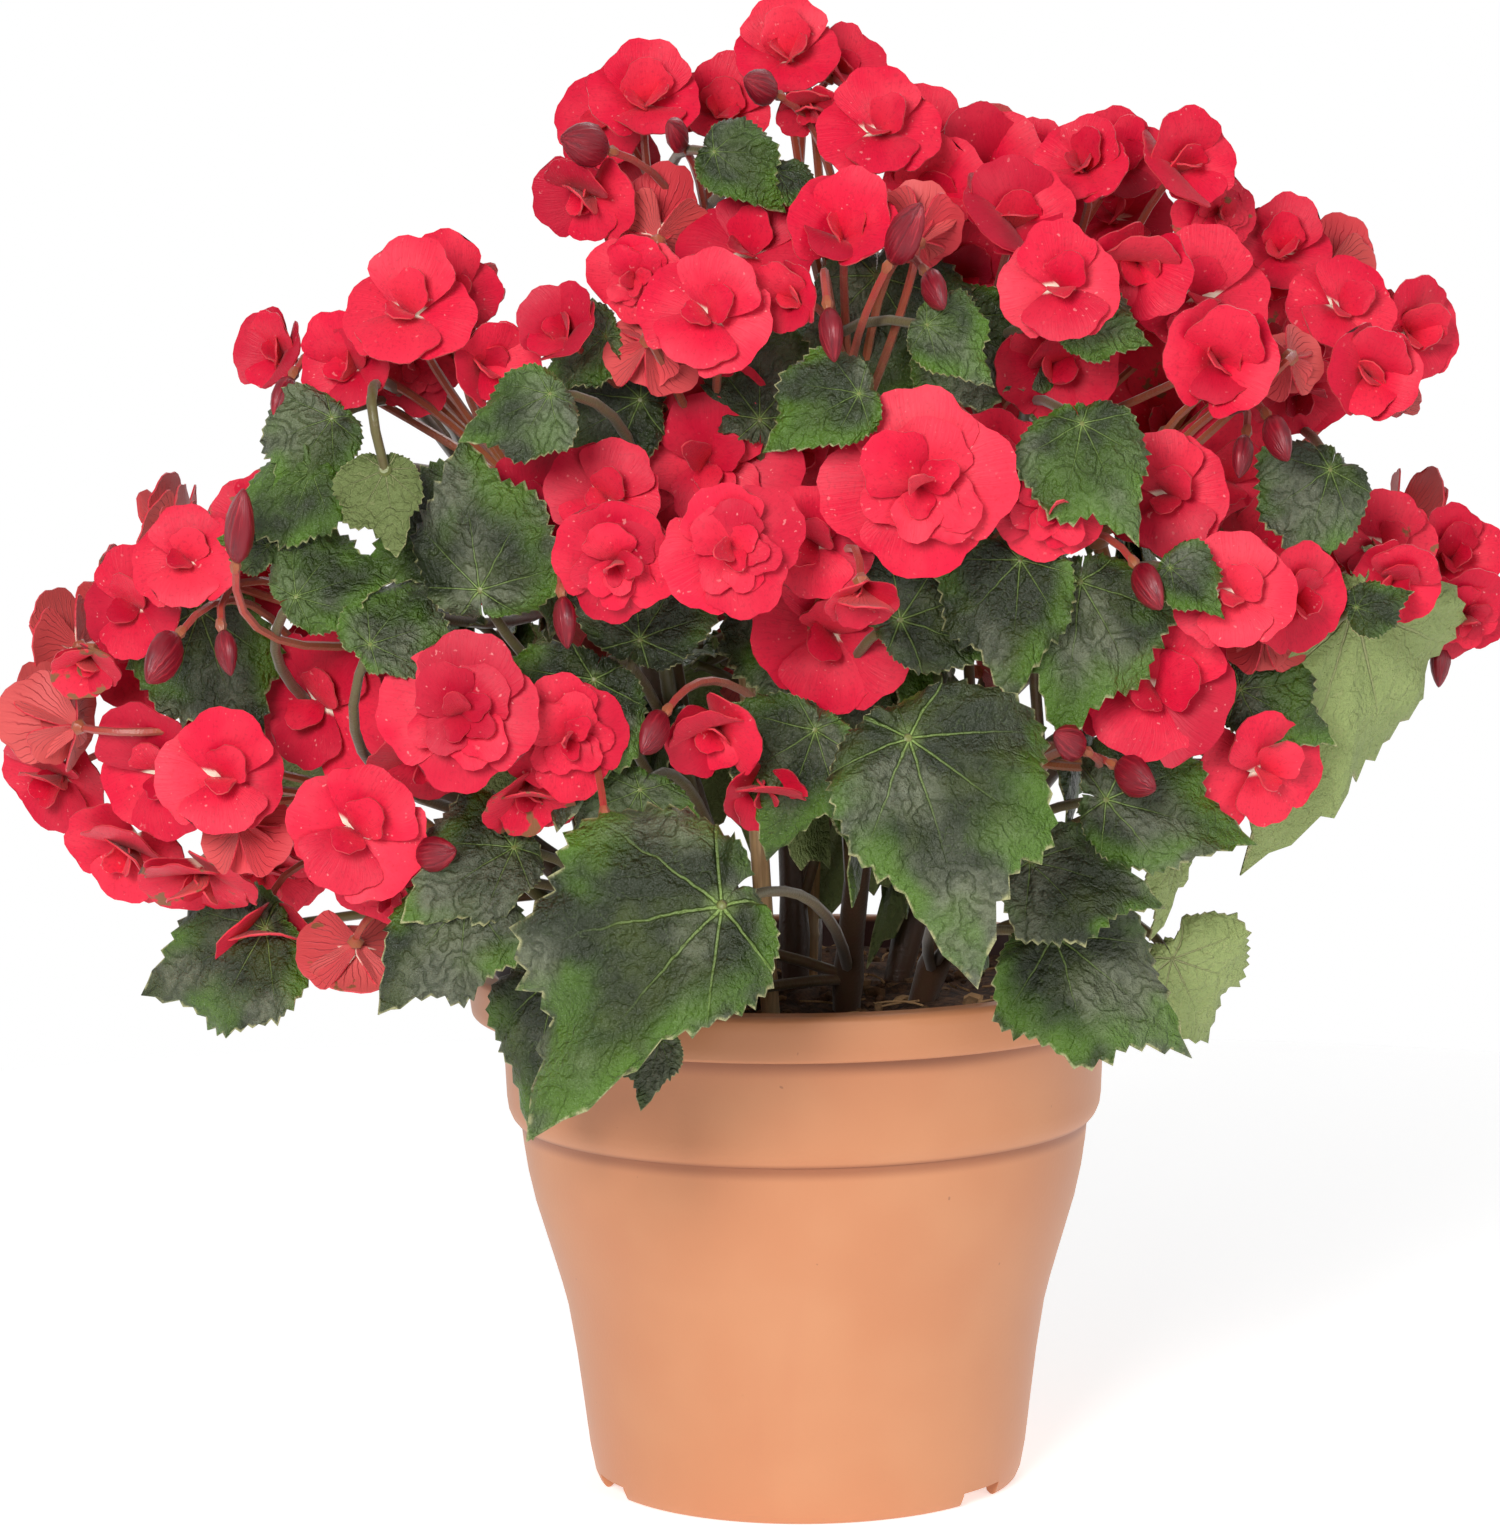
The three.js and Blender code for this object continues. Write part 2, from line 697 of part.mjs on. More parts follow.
// The three sides of a stalk, from the blade that it carries down its path to a closed foot.
const stalkUnder = (under, { add, path, radii, axes, extra }) => {
  const faces = [];
  let side = axes.u.clone();
  let upper = null;
  for (let i = path.length - 1; i >= 0; i -= 1) {
    const before = path[Math.max(0, i - 1)];
    const after = path[Math.min(path.length - 1, i + 1)];
    const along = i === path.length - 1 ? axes.n.clone() : after.clone().sub(before).normalize();
    side.addScaledVector(along, -side.dot(along)).normalize();
    const other = along.clone().cross(side);
    const centre = path[i].clone();
    if (i === 0) centre.addScaledVector(along, -extra);
    const ring = [];
    for (let k = 0; k < 3; k += 1) {
      const angle = (k / 3) * TURN + 0.3;
      ring.push(
        add(
          centre
            .clone()
            .addScaledVector(side, (radii[i] + extra) * Math.cos(angle))
            .addScaledVector(other, (radii[i] + extra) * Math.sin(angle)),
          angle,
        ),
      );
    }
    if (upper) faces.push(...band(ring, upper));
    else faces.push(...turnedOver(zip(under, ring)));
    upper = ring;
  }
  faces.push([upper[0].id, upper[2].id, upper[1].id]);
  return faces;
};

// Blooms: an outer whorl of petals and a smaller cup of inner ones. Each kind has its petals in
// both, the inner whorl's share of the width, and how far each cups forward.

const WHORLS = {
  open: { petals: 4, cup: 0.18, inner: 3, share: 0.5, innerCup: 0.5, size: 1 },
  plain: { petals: 4, cup: 0.24, inner: 4, share: 0.58, innerCup: 0.5, size: 1 },
  double: { petals: 5, cup: 0.14, inner: 5, share: 0.7, innerCup: 0.36, size: 1 },
  cup: { petals: 4, cup: 0.56, inner: 3, share: 0.5, innerCup: 0.8, size: 0.88 },
  hidden: { petals: 4, cup: 0.24, inner: 0, share: 0, innerCup: 0, size: 1 },
};

const petalRim = (kind, radius, random, turn, shrink) => {
  const rim = [];
  const pitch = TURN / kind.petals;
  const long = radius * kind.size;
  for (let p = 0; p < kind.petals; p += 1) {
    const middle = turn + pitch * p + random(-0.06, 0.06);
    const size = random(0.92, 1.06) * shrink[p];
    const rise = long * (kind.cup + random(-0.05, 0.05)) * shrink[p];
    const wide = pitch * 0.3;
    rim.push([middle - wide, long * size * 0.95, rise - 0.05 * long, false]);
    rim.push([middle + wide, long * size, rise + 0.05 * long, false]);
    if (!kind.inner) continue;
    const less = Math.min(shrink[p], shrink[(p + 1) % kind.petals]);
    rim.push([turn + pitch * (p + 0.5), long * 0.5 * less, long * kind.cup * 0.35, true]);
  }
  return rim;
};

const innerRim = (kind, radius, random, turn) => {
  const rim = [];
  const count = kind.inner;
  for (let k = 0; k < count; k += 1) {
    const tip = k % 2 === 0 ? 1 : 0.8;
    const long = radius * kind.share * tip * random(0.9, 1.08);
    rim.push([turn + (TURN * k) / count, long, long * kind.innerCup * 1.25, false]);
  }
  return rim;
};

const bloomSolid = (bloom, kindName, axes, path, seed, shrink, extra = 0) => {
  const random = seeded(seed);
  const kind = WHORLS[kindName];
  const radius = bloom.width / 2;
  const turn = random(0, TURN);
  const rim = petalRim(kind, radius, random, turn, shrink);
  const inner = kind.inner
    ? {
        rim: innerRim(kind, radius, random, turn + 0.6),
        valley: radius * 0.2,
        floor: radius * 0.05,
      }
    : null;
  return bladeOnStalk({
    rim,
    inner,
    middle: radius * (inner ? 0.12 : 0.03),
    thick: PETAL_THICK,
    at: bloom.at,
    axes,
    path,
    radii: taper(1.15, 1.1, path.length),
    extra,
  });
};

// A bud on its stalk: two rings and a tip, flattened from side to side.
const budSolid = (at, axes, long, wide, path, extra = 0) => {
  const sides = 4;
  const points = [];
  const add = (p, angle) => {
    points.push(p);
    return { id: points.length - 1, angle };
  };
  const rings = [
    [0.3, 0.94, 0],
    [0.7, 0.8, 0.5],
  ].map(([up, share, shift]) => {
    const ring = [];
    for (let k = 0; k < sides; k += 1) {
      const angle = ((k + shift) / sides) * TURN;
      const size = (wide / 2) * share + extra;
      ring.push(
        add(
          at
            .clone()
            .addScaledVector(axes.n, long * up)
            .addScaledVector(axes.u, size * Math.cos(angle))
            .addScaledVector(axes.v, size * 0.72 * Math.sin(angle)),
          angle,
        ),
      );
    }
    return ring;
  });
  const tip = add(at.clone().addScaledVector(axes.n, long + extra), 0);
  const faces = [];
  for (let k = 0; k < sides; k += 1) {
    const next = (k + 1) % sides;
    faces.push([rings[0][k].id, rings[0][next].id, rings[1][k].id]);
    faces.push([rings[0][next].id, rings[1][next].id, rings[1][k].id]);
    faces.push([rings[1][k].id, rings[1][next].id, tip.id]);
  }
  const radii = taper(1.3, 1, path.length);
  faces.push(...stalkUnder(rings[0], { points, add, path, radii, axes, extra }));
  return solid(points, faces);
};

// Leaf outline: angle from the tip in degrees, and reach as a share of the leaf's length. A third
// number of 1 marks a tooth. One side is wider, as a begonia's is: the left one on every other leaf.

const LEAF_WIDE = [
  [19, 0.72, 0],
  [38, 0.78, 1],
  [58, 0.62, 0],
  [84, 0.64, 1],
  [108, 0.42, 0],
  [136, 0.26, 1],
];
const LEAF_SLIM = [
  [20, 0.66, 0],
  [40, 0.6, 1],
  [66, 0.42, 0],
  [96, 0.32, 1],
  [134, 0.2, 1],
];

const leafRim = (long, droop, seed, few, shrink) => {
  const wideLeft = ((seed - 23) / 13) % 2 === 0;
  const random = seeded(seed);
  const keep = (row) => !few || row[2] === 1 || row[0] < 30;
  const left = (wideLeft ? LEAF_WIDE : LEAF_SLIM).filter(keep);
  const other = (wideLeft ? LEAF_SLIM : LEAF_WIDE).filter(keep);
  const right = other.map(([angle, radius, tooth]) => [-angle, radius, tooth]);
  const rim = [[0, 1, 1], ...left, [176, 0.17, 0], ...right.reverse()];
  return rim.map(([angle, radius, tooth], k) => {
    const lobe = Math.floor((k / rim.length) * shrink.length);
    const size = long * radius * random(0.96, 1.04) * shrink[lobe];
    const sag = (-droop * size * size) / long;
    const wave = (tooth ? 0.03 : -0.03) * long * random(0.6, 1.4);
    return [(angle * Math.PI) / 180, size, sag + wave, tooth === 0];
  });
};

const NO_SHRINK = [1, 1, 1, 1, 1, 1];
const headSolid = (bloom, path, extra, shrink = NO_SHRINK) => {
  if (!bloom.small) {
    return bloomSolid(bloom, bloom.shape, bloom.axes, path, bloom.seed, shrink, extra);
  }
  const wide = bloom.width * (bloom.kind === "bud" ? 0.72 : 0.6);
  return budSolid(bloom.at, bloom.axes, bloom.width, wide, path, extra);
};

// Petals and leaf lobes that would cross what is already there are drawn in, one by one, until the
// crossing is gone or no lobe helps any more.
const overlaps = (a, b) => {
  const [p, q] = [a.boundingBox(), b.boundingBox()];
  return [0, 1, 2].every((k) => p.min[k] < q.max[k] && q.min[k] < p.max[k]);
};

const giveWay = (build, lobes, obstacles) => {
  const shrink = NO_SHRINK.concat(NO_SHRINK).slice(0, lobes);
  const first = build(shrink);
  const near = obstacles.filter((other) => overlaps(first, other));
  const crossing = (body) =>
    near.reduce((sum, other) => sum + Manifold.intersection(body, other).volume(), 0);
  let least = near.length ? crossing(first) : 0;
  for (let round = 0; round < 6 && least > 1e-6; round += 1) {
    for (let k = 0; k < lobes && least > 1e-6; k += 1) {
      const kept = shrink[k];
      if (kept < 0.28) continue;
      shrink[k] = kept * 0.8;
      const now = crossing(build(shrink));
      if (now < least - 1e-4) least = now;
      else shrink[k] = kept;
    }
  }
  return shrink;
};

// Every stalk, and every blade on its stalk, is kept twice, as it is and fattened, so that what is
// built later clears it.

const CENTRE_DOWN = new THREE.Vector3(0, 0, -1);
const kit = () => ({ stalks: [], fatStalks: [], blades: [], fatBlades: [] });

const blocked = { all: join([]), heads: join([]), own: join([]) };

const addStalk = (node, points, radii, sides) => {
  node.stalks.push(tube(points, radii, sides));
  node.fatStalks.push(tube(points, radii, sides, CLEARANCE));
};

// The swollen joint where a spray forks: eight faces.
const addKnot = (node, at) => {
  node.stalks.push(knot(at, KNOT));
  node.fatStalks.push(knot(at, KNOT + CLEARANCE * Math.sqrt(3)));
};

const aside = seeded(7);

// A stalk that would cross another node's stalk is bent aside in growing steps until it clears it.
const clearRoute = (from, over, to, radii, steps) => {
  let points = bend(from, over, to, steps);
  let best = points;
  let least = Infinity;
  for (let tries = 0; tries < 30; tries += 1) {
    const body = tube(points, taper(radii[0], radii[radii.length - 1], points.length), 3);
    const crossing =
      1000 * Manifold.intersection(body, blocked.all).volume() +
      Manifold.intersection(body, blocked.heads).volume() +
      Manifold.intersection(body, blocked.own).volume();
    if (crossing < least) {
      least = crossing;
      best = points;
    }
    if (crossing < 1e-6) break;
    const reach = 4 + tries * 1.4;
    const shift = new THREE.Vector3(
      aside(-reach, reach),
      aside(-reach, reach),
      aside(-reach, reach),
    );
    points = bend(from, over.clone().add(shift), to, 2);
  }
  return best;
};

// Blooms settle one after another, the frontmost first, each stepping back until it is clear.

const settleBlooms = () => {
  const all = [];
  SPRAYS.forEach((spray, s) => {
    spray.blooms.forEach((row, b) => all.push({ spray: s, row, order: b }));
  });
  const queue = [...all].sort((a, b) => a.row[6] - b.row[6]);
  const placed = [];
  queue.forEach((bloom) => {
    const [px, py, width, faceX, faceZ, side, behind, kind] = bloom.row;
    const face = facing(faceX, faceZ, side);
    const small = kind === "bud" || kind === "folded";
    const ball = width * (small ? 0.3 : 0.42);
    let near = domeNear(px, py) - behind;
    let middle = seen(px, py, near);
    for (let step = 0; step < 60; step += 1) {
      const hit = placed.some((other) => other.middle.distanceTo(middle) < other.ball + ball);
      if (!hit) break;
      near -= 2.5;
      middle = seen(px, py, near);
    }
    placed.push({ middle, ball });
    const at = middle.clone().addScaledVector(face, small ? 0 : -0.2 * width);
    Object.assign(bloom, { at, face, width, kind, small });
  });
  return all;
};

// The sprays and leaves that the picture hides fill the back of the dome by a seeded rule.

const domePoint = (round, up, scale) =>
  new THREE.Vector3(
    DOME.x + DOME.radiusX * scale * Math.cos(up) * Math.cos(round),
    DOME.radiusY * scale * Math.cos(up) * Math.sin(round),
    DOME.z + DOME.radiusZ * scale * Math.sin(up),
  );

const outwards = (at) =>
  new THREE.Vector3(
    (at.x - DOME.x) / DOME.radiusX,
    at.y / DOME.radiusY,
    (at.z - DOME.z) / DOME.radiusZ + 0.25,
  ).normalize();

const nearestCane = (at) => {
  const gaps = CANES.map(({ path }) => Math.hypot(path[3][0] - at.x, path[3][1] - at.y));
  return gaps.indexOf(Math.min(...gaps));
};

// Steps a hidden thing in towards the heart until a seen bloom stands before it.
const hide = (at, near, reach = new THREE.Vector3()) => {
  const wide = SPRAYS.flatMap(({ blooms }) => blooms).filter((row) => row[2] >= 28);
  for (let step = 0; step < 24; step += 1) {
    const [px, py] = shown(at.clone().add(reach));
    if (wide.some((row) => Math.hypot(row[0] - px, row[1] - py) < near)) return;
    at.lerp(HEART, 0.05);
  }
};

const backSprays = () => {
  const random = seeded(BACK.seed);
  const sprays = [];
  for (let s = 0; s < BACK.sprays; s += 1) {
    const round = 0.32 + (2.5 * s) / (BACK.sprays - 1);
    const up = s % 2 === 0 ? 0.12 : 0.66;
    const blooms = [];
    for (let b = 0; b < BACK.blooms; b += 1) {
      const turn = (b / BACK.blooms) * 2 * Math.PI + random(-0.3, 0.3);
      const spread = random(0.15, 0.2);
      const at = domePoint(
        round + spread * Math.cos(turn),
        up + spread * 1.15 * Math.sin(turn),
        random(0.86, 0.96),
      );
      hide(at, 24);
      const face = outwards(at);
      face.x += random(-0.25, 0.25);
      face.z += random(-0.2, 0.3);
      blooms.push({
        at,
        face: face.normalize(),
        width: random(32, 40),
        kind: "open",
        small: false,
      });
    }
    const cane = nearestCane(domePoint(round, up, 0.8));
    sprays.push({ name: `spray_back_${s + 1}`, cane, from: 0.9, blooms });
  }
  return sprays;
};

const hiddenLeaves = () => {
  const random = seeded(BACK.seed + 1);
  const leaves = [];
  const grow = (round, up, scale, droop, long, from) => {
    const at = domePoint(round, up, scale);
    const towards = new THREE.Vector3(Math.cos(round), Math.sin(round), droop);
    hide(at, 50, towards.clone().setLength(long / 2));
    const n = outwards(at);
    n.z += 0.5;
    leaves.push({
      at,
      n: n.normalize(),
      towards,
      long,
      cane: nearestCane(at),
      from,
    });
  };
  for (let k = 0; k < BACK.leaves; k += 1) {
    const round = 0.55 + (2.3 * k) / (BACK.leaves - 1);
    if (k % 2 === 0) grow(round, random(-0.5, -0.34), 0.7, -0.9, random(46, 60), 0.35);
    else grow(round, random(0.2, 0.45), 0.68, -0.3, random(40, 56), 0.7);
  }
  for (let k = 0; k < BACK.inner; k += 1) {
    const round = (TURN * (k + 0.5)) / BACK.inner + random(-0.2, 0.2);
    const up = k % 2 === 0 ? random(-0.25, -0.05) : random(0.3, 0.6);
    grow(round, up, random(0.42, 0.52), -0.5, random(44, 58), 0.6);
  }
  return leaves;
};

// The pot: one turned wall with a rolled lip, a raised floor, drain holes and foot notches.

const POT_PROFILE = [
  [0, 5],
  [56.6, 5],
  [57.4, 0],
  [60.6, 0],
  [62.8, 10.5],
  [68.4, 51.5],
  [77.4, 83],
  [80.8, 103],
  [84.4, 109.5],
  [85.8, 134],
  [94.4, 136.6],
  [95, 145.6],
  [92, 149.4],
  [87.6, 148.6],
  [82.4, 110.5],
  [78.2, 103],
  [66, 51],
  [60.4, 8],
  [0, 8],
];

const NOTCH_TURN = -37; // degrees; three notches, 120 degrees apart

const turned = (profile, sides) => {
  const points = [];
  const faces = [];
  const starts = [];
  profile.forEach(([radius, z]) => {
    starts.push(points.length);
    const ring = radius === 0 ? 1 : sides;
    for (let k = 0; k < ring; k += 1) {
      const angle = (k / sides) * 2 * Math.PI;
      points.push(new THREE.Vector3(radius * Math.cos(angle), radius * Math.sin(angle), z));
    }
  });
  for (let i = 0; i < profile.length - 1; i += 1) {
    for (let k = 0; k < sides; k += 1) {
      const next = (k + 1) % sides;
      const lower = profile[i][0] === 0 ? [starts[i], starts[i]] : [starts[i] + k, starts[i] + next];
      const upper =
        profile[i + 1][0] === 0
          ? [starts[i + 1], starts[i + 1]]
          : [starts[i + 1] + k, starts[i + 1] + next];
      if (lower[0] !== lower[1]) faces.push([lower[0], lower[1], upper[1]]);
      if (upper[0] !== upper[1]) faces.push([lower[0], upper[1], upper[0]]);
    }
  }
  return solid(points, faces);
};

const potSolid = () => {
  let body = turned(POT_PROFILE, POT_SIDES);
  const cuts = [];
  for (let k = 0; k < 3; k += 1) {
    const angle = 0.35 + (k * TURN) / 3;
    const hole = Manifold.cylinder(20, 5, 5, 8, true);
    cuts.push(hole.translate([38 * Math.cos(angle), 38 * Math.sin(angle), 6]));
    cuts.push(
      Manifold.cube([9, 17, 8], true)
        .translate([59, 0, 0])
        .rotate([0, 0, NOTCH_TURN + k * 120]),
    );
  }
  body = body.subtract(join(cuts));
  return body;
};

// Soil: fills the pot, with a lumpy top.

const soilSolid = () => {
  const random = seeded(11);
  const sides = 12;
  const wall = [
    [59.2, 8.5],
    [64.8, 51],
    [77, 103],
    [84.6, 137],
  ];
  const rings = [58, 26];
  const points = [];
  const starts = [];
  const ring = (radius, height) => {
    starts.push(points.length);
    for (let k = 0; k < sides; k += 1) {
      const angle = (k / sides) * 2 * Math.PI;
      points.push(
        new THREE.Vector3(radius * Math.cos(angle), radius * Math.sin(angle), height(angle)),
      );
    }
  };
  wall.forEach(([radius, z]) => ring(radius, () => z));
  rings.forEach((radius) => ring(radius, () => SOIL_TOP + random(-2.4, 2.4)));
  const faces = [];
  for (let i = 0; i < starts.length - 1; i += 1) {
    for (let k = 0; k < sides; k += 1) {
      const next = (k + 1) % sides;
      const [a, b] = [starts[i] + k, starts[i] + next];
      const [c, d] = [starts[i + 1] + k, starts[i + 1] + next];
      faces.push([a, b, d], [a, d, c]);
    }
  }
  const bottom = points.push(new THREE.Vector3(0, 0, 8.4)) - 1;
  const top = points.push(new THREE.Vector3(0, 0, SOIL_TOP + 1)) - 1;
  const lastRing = starts[starts.length - 1];
  for (let k = 0; k < sides; k += 1) {
    const next = (k + 1) % sides;
    faces.push([bottom, next, k], [top, lastRing + k, lastRing + next]);
  }
  return solid(points, faces);
};

// Build the plant.

const vector = ([x, y, z]) => new THREE.Vector3(x, y, z);
const nodes = [];
const stakeKits = STAKES.map((stake, i) => {
  const node = kit();
  const points = [vector(stake.foot), vector(stake.tip)];
  addStalk(node, points, [stake.radius, stake.radius], 8);
  return { name: `stake_${i + 1}`, kind: "stake", ...node };
});

const curves = CANES.map((cane) => new THREE.CatmullRomCurve3(cane.path.map(vector)));
const caneKits = CANES.map((cane, i) => {
  const node = kit();
  const points = curves[i].getPoints(4);
  addStalk(node, points, taper(4.6, 2.9, points.length), 5);
  return { name: `leafy_stem_${i + 1}`, kind: "stem", ...node };
});

// The room that the pot and its soil take, a little more than they fill.
const potRoom = Manifold.cylinder(150.2, 95.6, 95.6, 32)
  .translate([0, 0, -0.2])
  .subtract(Manifold.cylinder(20, 86.6, 86.6, 32).translate([0, 0, SOIL_TOP + 2.9]));
const withoutCane = (i) =>
  join([
    potRoom,
    ...stakeKits.flatMap((node) => node.fatStalks),
    ...caneKits.flatMap((node, k) => (k === i ? [] : node.fatStalks)),
  ]);

const blooms = settleBlooms();
const sprayList = SPRAYS.map((spray, s) => ({
  ...spray,
  blooms: blooms.filter((bloom) => bloom.spray === s),
})).concat(backSprays());

const aboveSoil = (curve, share) => {
  const point = curve.getPoint(share);
  return point.z > SOIL_TOP + 8 ? point : aboveSoil(curve, share + 0.03);
};
const taken = CANES.map(() => 0);
sprayList.forEach((spray) => {
  const mean = new THREE.Vector3();
  spray.blooms.forEach((bloom) => mean.addScaledVector(bloom.at, 1 / spray.blooms.length));
  spray.fork = mean.lerp(HEART, 0.32);
  taken[spray.cane] += 1;
  const start = aboveSoil(curves[spray.cane], spray.from * 0.98 - 0.03 * taken[spray.cane]);
  spray.start = start;
  spray.reach = spray.fork.clone().sub(start);
  spray.way = spray.reach.clone().normalize().lerp(new THREE.Vector3(0, 0, 1), 0.25).normalize();
});

// The heads of all blooms, for stalks to keep clear of.
sprayList.forEach((spray, s) => {
  spray.blooms.forEach((bloom, b) => {
    bloom.axes = axesOf(bloom.face, CENTRE_DOWN);
    bloom.seed = 101 * s + 7 * b + 3;
    bloom.neck = bloom.at.clone();
    if (!bloom.small) bloom.neck.addScaledVector(bloom.face, -0.09 * bloom.width);
    bloom.shape = bloom.row && bloom.row[6] >= 8 && !bloom.small ? "hidden" : bloom.kind;
    const stub = [bloom.neck.clone().addScaledVector(bloom.face, -1), bloom.neck];
    bloom.head = headSolid(bloom, stub, CLEARANCE);
  });
});
const everyBloom = sprayList.flatMap((spray) => spray.blooms);
const headsBut = (skip) =>
  join(everyBloom.filter((bloom) => bloom !== skip).map((bloom) => bloom.head));
blocked.heads = headsBut(null);

// Branches of the canes that carry the sprays.
sprayList.forEach((spray) => {
  const node = caneKits[spray.cane];
  const stop = spray.fork.clone().addScaledVector(spray.way, -PEDUNCLE);
  const over = stop.clone().addScaledVector(spray.way, -0.5 * spray.start.distanceTo(stop));
  blocked.all = withoutCane(spray.cane);
  blocked.own = join(node.fatStalks.slice(1));
  const radii = taper(2.5, 1.9, 3);
  addStalk(node, clearRoute(spray.start, over, stop, radii, 2), radii, 3);
});

// Leaves, each on its own stalk.

const leafPlaces = [];
CANES.forEach((cane, c) => {
  cane.leaves.forEach(([px, py, long, angle, faceX, faceZ, side, behind, from]) => {
    const at = seen(px, py, domeNear(px, py) - behind);
    const turn = (angle * Math.PI) / 180;
    leafPlaces.push({
      at,
      n: facing(faceX, faceZ, side),
      towards: new THREE.Vector3(Math.cos(turn), 0, Math.sin(turn)),
      long,
      cane: c,
      from,
    });
  });
});
leafPlaces.push(...hiddenLeaves());

// Leaf stalks are routed first, and their blades are drawn when the blooms stand.
leafPlaces.forEach((leaf, k) => {
  leaf.axes = axesOf(leaf.n, leaf.towards);
  leaf.seed = 23 + 13 * k;
  const start = aboveSoil(curves[leaf.cane], leaf.from * 0.98 - 0.015 * (k % 3));
  const stop = leaf.at.clone().addScaledVector(leaf.axes.n, -LEAF_THICK);
  const far = start.distanceTo(stop);
  const over = stop
    .clone()
    .addScaledVector(leaf.axes.n, -0.3 * far)
    .addScaledVector(leaf.axes.u, -0.25 * far);
  blocked.all = withoutCane(leaf.cane);
  const siblings = leafPlaces.filter((other) => other.cane === leaf.cane && other.fatStalk);
  blocked.own = join([
    ...caneKits[leaf.cane].fatStalks.slice(1),
    ...siblings.map((other) => other.fatStalk),
  ]);
  leaf.path = clearRoute(start, over, stop, [1.6, 1.2], 2);
  leaf.radii = taper(1.6, 1.2, leaf.path.length);
  leaf.fatStalk = tube(leaf.path, leaf.radii, 3, CLEARANCE);
});

// Sprays: a stalk from the branch to the fork, a knot there, and each bloom on its own stalk.

const standing = [...stakeKits, ...caneKits].flatMap((node) => node.fatStalks);
const sprayKits = sprayList.map((spray) => {
  const node = kit();
  blocked.all = join([potRoom, ...standing, ...leafPlaces.map((leaf) => leaf.fatStalk)]);
  const foot = spray.fork.clone().addScaledVector(spray.way, -PEDUNCLE + CLEARANCE);
  addStalk(node, [foot, spray.fork.clone()], [1.9, 2.1], 3);
  addKnot(node, spray.fork);
  spray.blooms.forEach((bloom, b) => {
    const way = bloom.neck.clone().sub(spray.fork).normalize();
    const root = spray.fork.clone().addScaledVector(way, 0.5 * KNOT);
    const reach = bloom.at.distanceTo(root);
    const over = bloom.at.clone().addScaledVector(bloom.face, -0.45 * reach);
    const line = bloom.neck.clone().sub(root).normalize();
    const steps = line.dot(bloom.face) > 0.4 ? 1 : 2;
    blocked.heads = headsBut(bloom);
    blocked.own = join(spray.blooms.slice(0, b).map((other) => other.fatStalk));
    bloom.path = clearRoute(root, over, bloom.neck, taper(1.15, 1.1, 3), steps);
    bloom.fatStalk = tube(bloom.path, taper(1.15, 1.1, bloom.path.length), 3, CLEARANCE);
  });
  return { name: spray.name, kind: "spray", ...node };
});

const grown = [];
sprayList.forEach((spray, s) => {
  spray.blooms.forEach((bloom) => {
    const stalks = everyBloom.filter((other) => other !== bloom).map((other) => other.fatStalk);
    const leafStalks = leafPlaces.map((leaf) => leaf.fatStalk);
    const lobes = bloom.small ? 0 : WHORLS[bloom.shape].petals;
    const stub = [bloom.neck.clone().addScaledVector(bloom.face, -1), bloom.neck];
    const obstacles = [...standing, ...stalks, ...leafStalks, ...grown];
    const shrink = giveWay((drawn) => headSolid(bloom, stub, 0, drawn), lobes, obstacles);
    sprayKits[s].blades.push(headSolid(bloom, bloom.path, 0, shrink));
    sprayKits[s].fatBlades.push(headSolid(bloom, bloom.path, CLEARANCE, shrink));
    grown.push(headSolid(bloom, stub, CLEARANCE, shrink));
  });
});

leafPlaces.forEach((leaf) => {
  const node = caneKits[leaf.cane];
  const few = leaf.long < 60;
  const leafBody = (extra, path, shrink) =>
    bladeOnStalk({
      rim: leafRim(leaf.long, 0.16, leaf.seed, few, shrink),
      inner: null,
      middle: 0.4,
      thick: LEAF_THICK,
      at: leaf.at,
      axes: leaf.axes,
      path,
      radii: leaf.radii,
      extra,
    });
  const end = leaf.path[leaf.path.length - 1];
  const stub = [end.clone().addScaledVector(leaf.axes.n, -1), end];
  const stalks = everyBloom.map((bloom) => bloom.fatStalk);
  const leafStalks = leafPlaces.filter((other) => other !== leaf).map((other) => other.fatStalk);
  const obstacles = [...standing, ...stalks, ...leafStalks, ...grown];
  const shrink = giveWay((drawn) => leafBody(0, stub, drawn), 6, obstacles);
  node.blades.push(leafBody(0, leaf.path, shrink));
  node.fatBlades.push(leafBody(CLEARANCE, leaf.path, shrink));
  grown.push(leafBody(CLEARANCE, stub, shrink));
});

// Blades give way to stalks and to the blades built before them.

const biggest = (body) => {
  const pieces = body.decompose();
  return pieces.reduce((best, piece) => (piece.volume() > best.volume() ? piece : best));
};

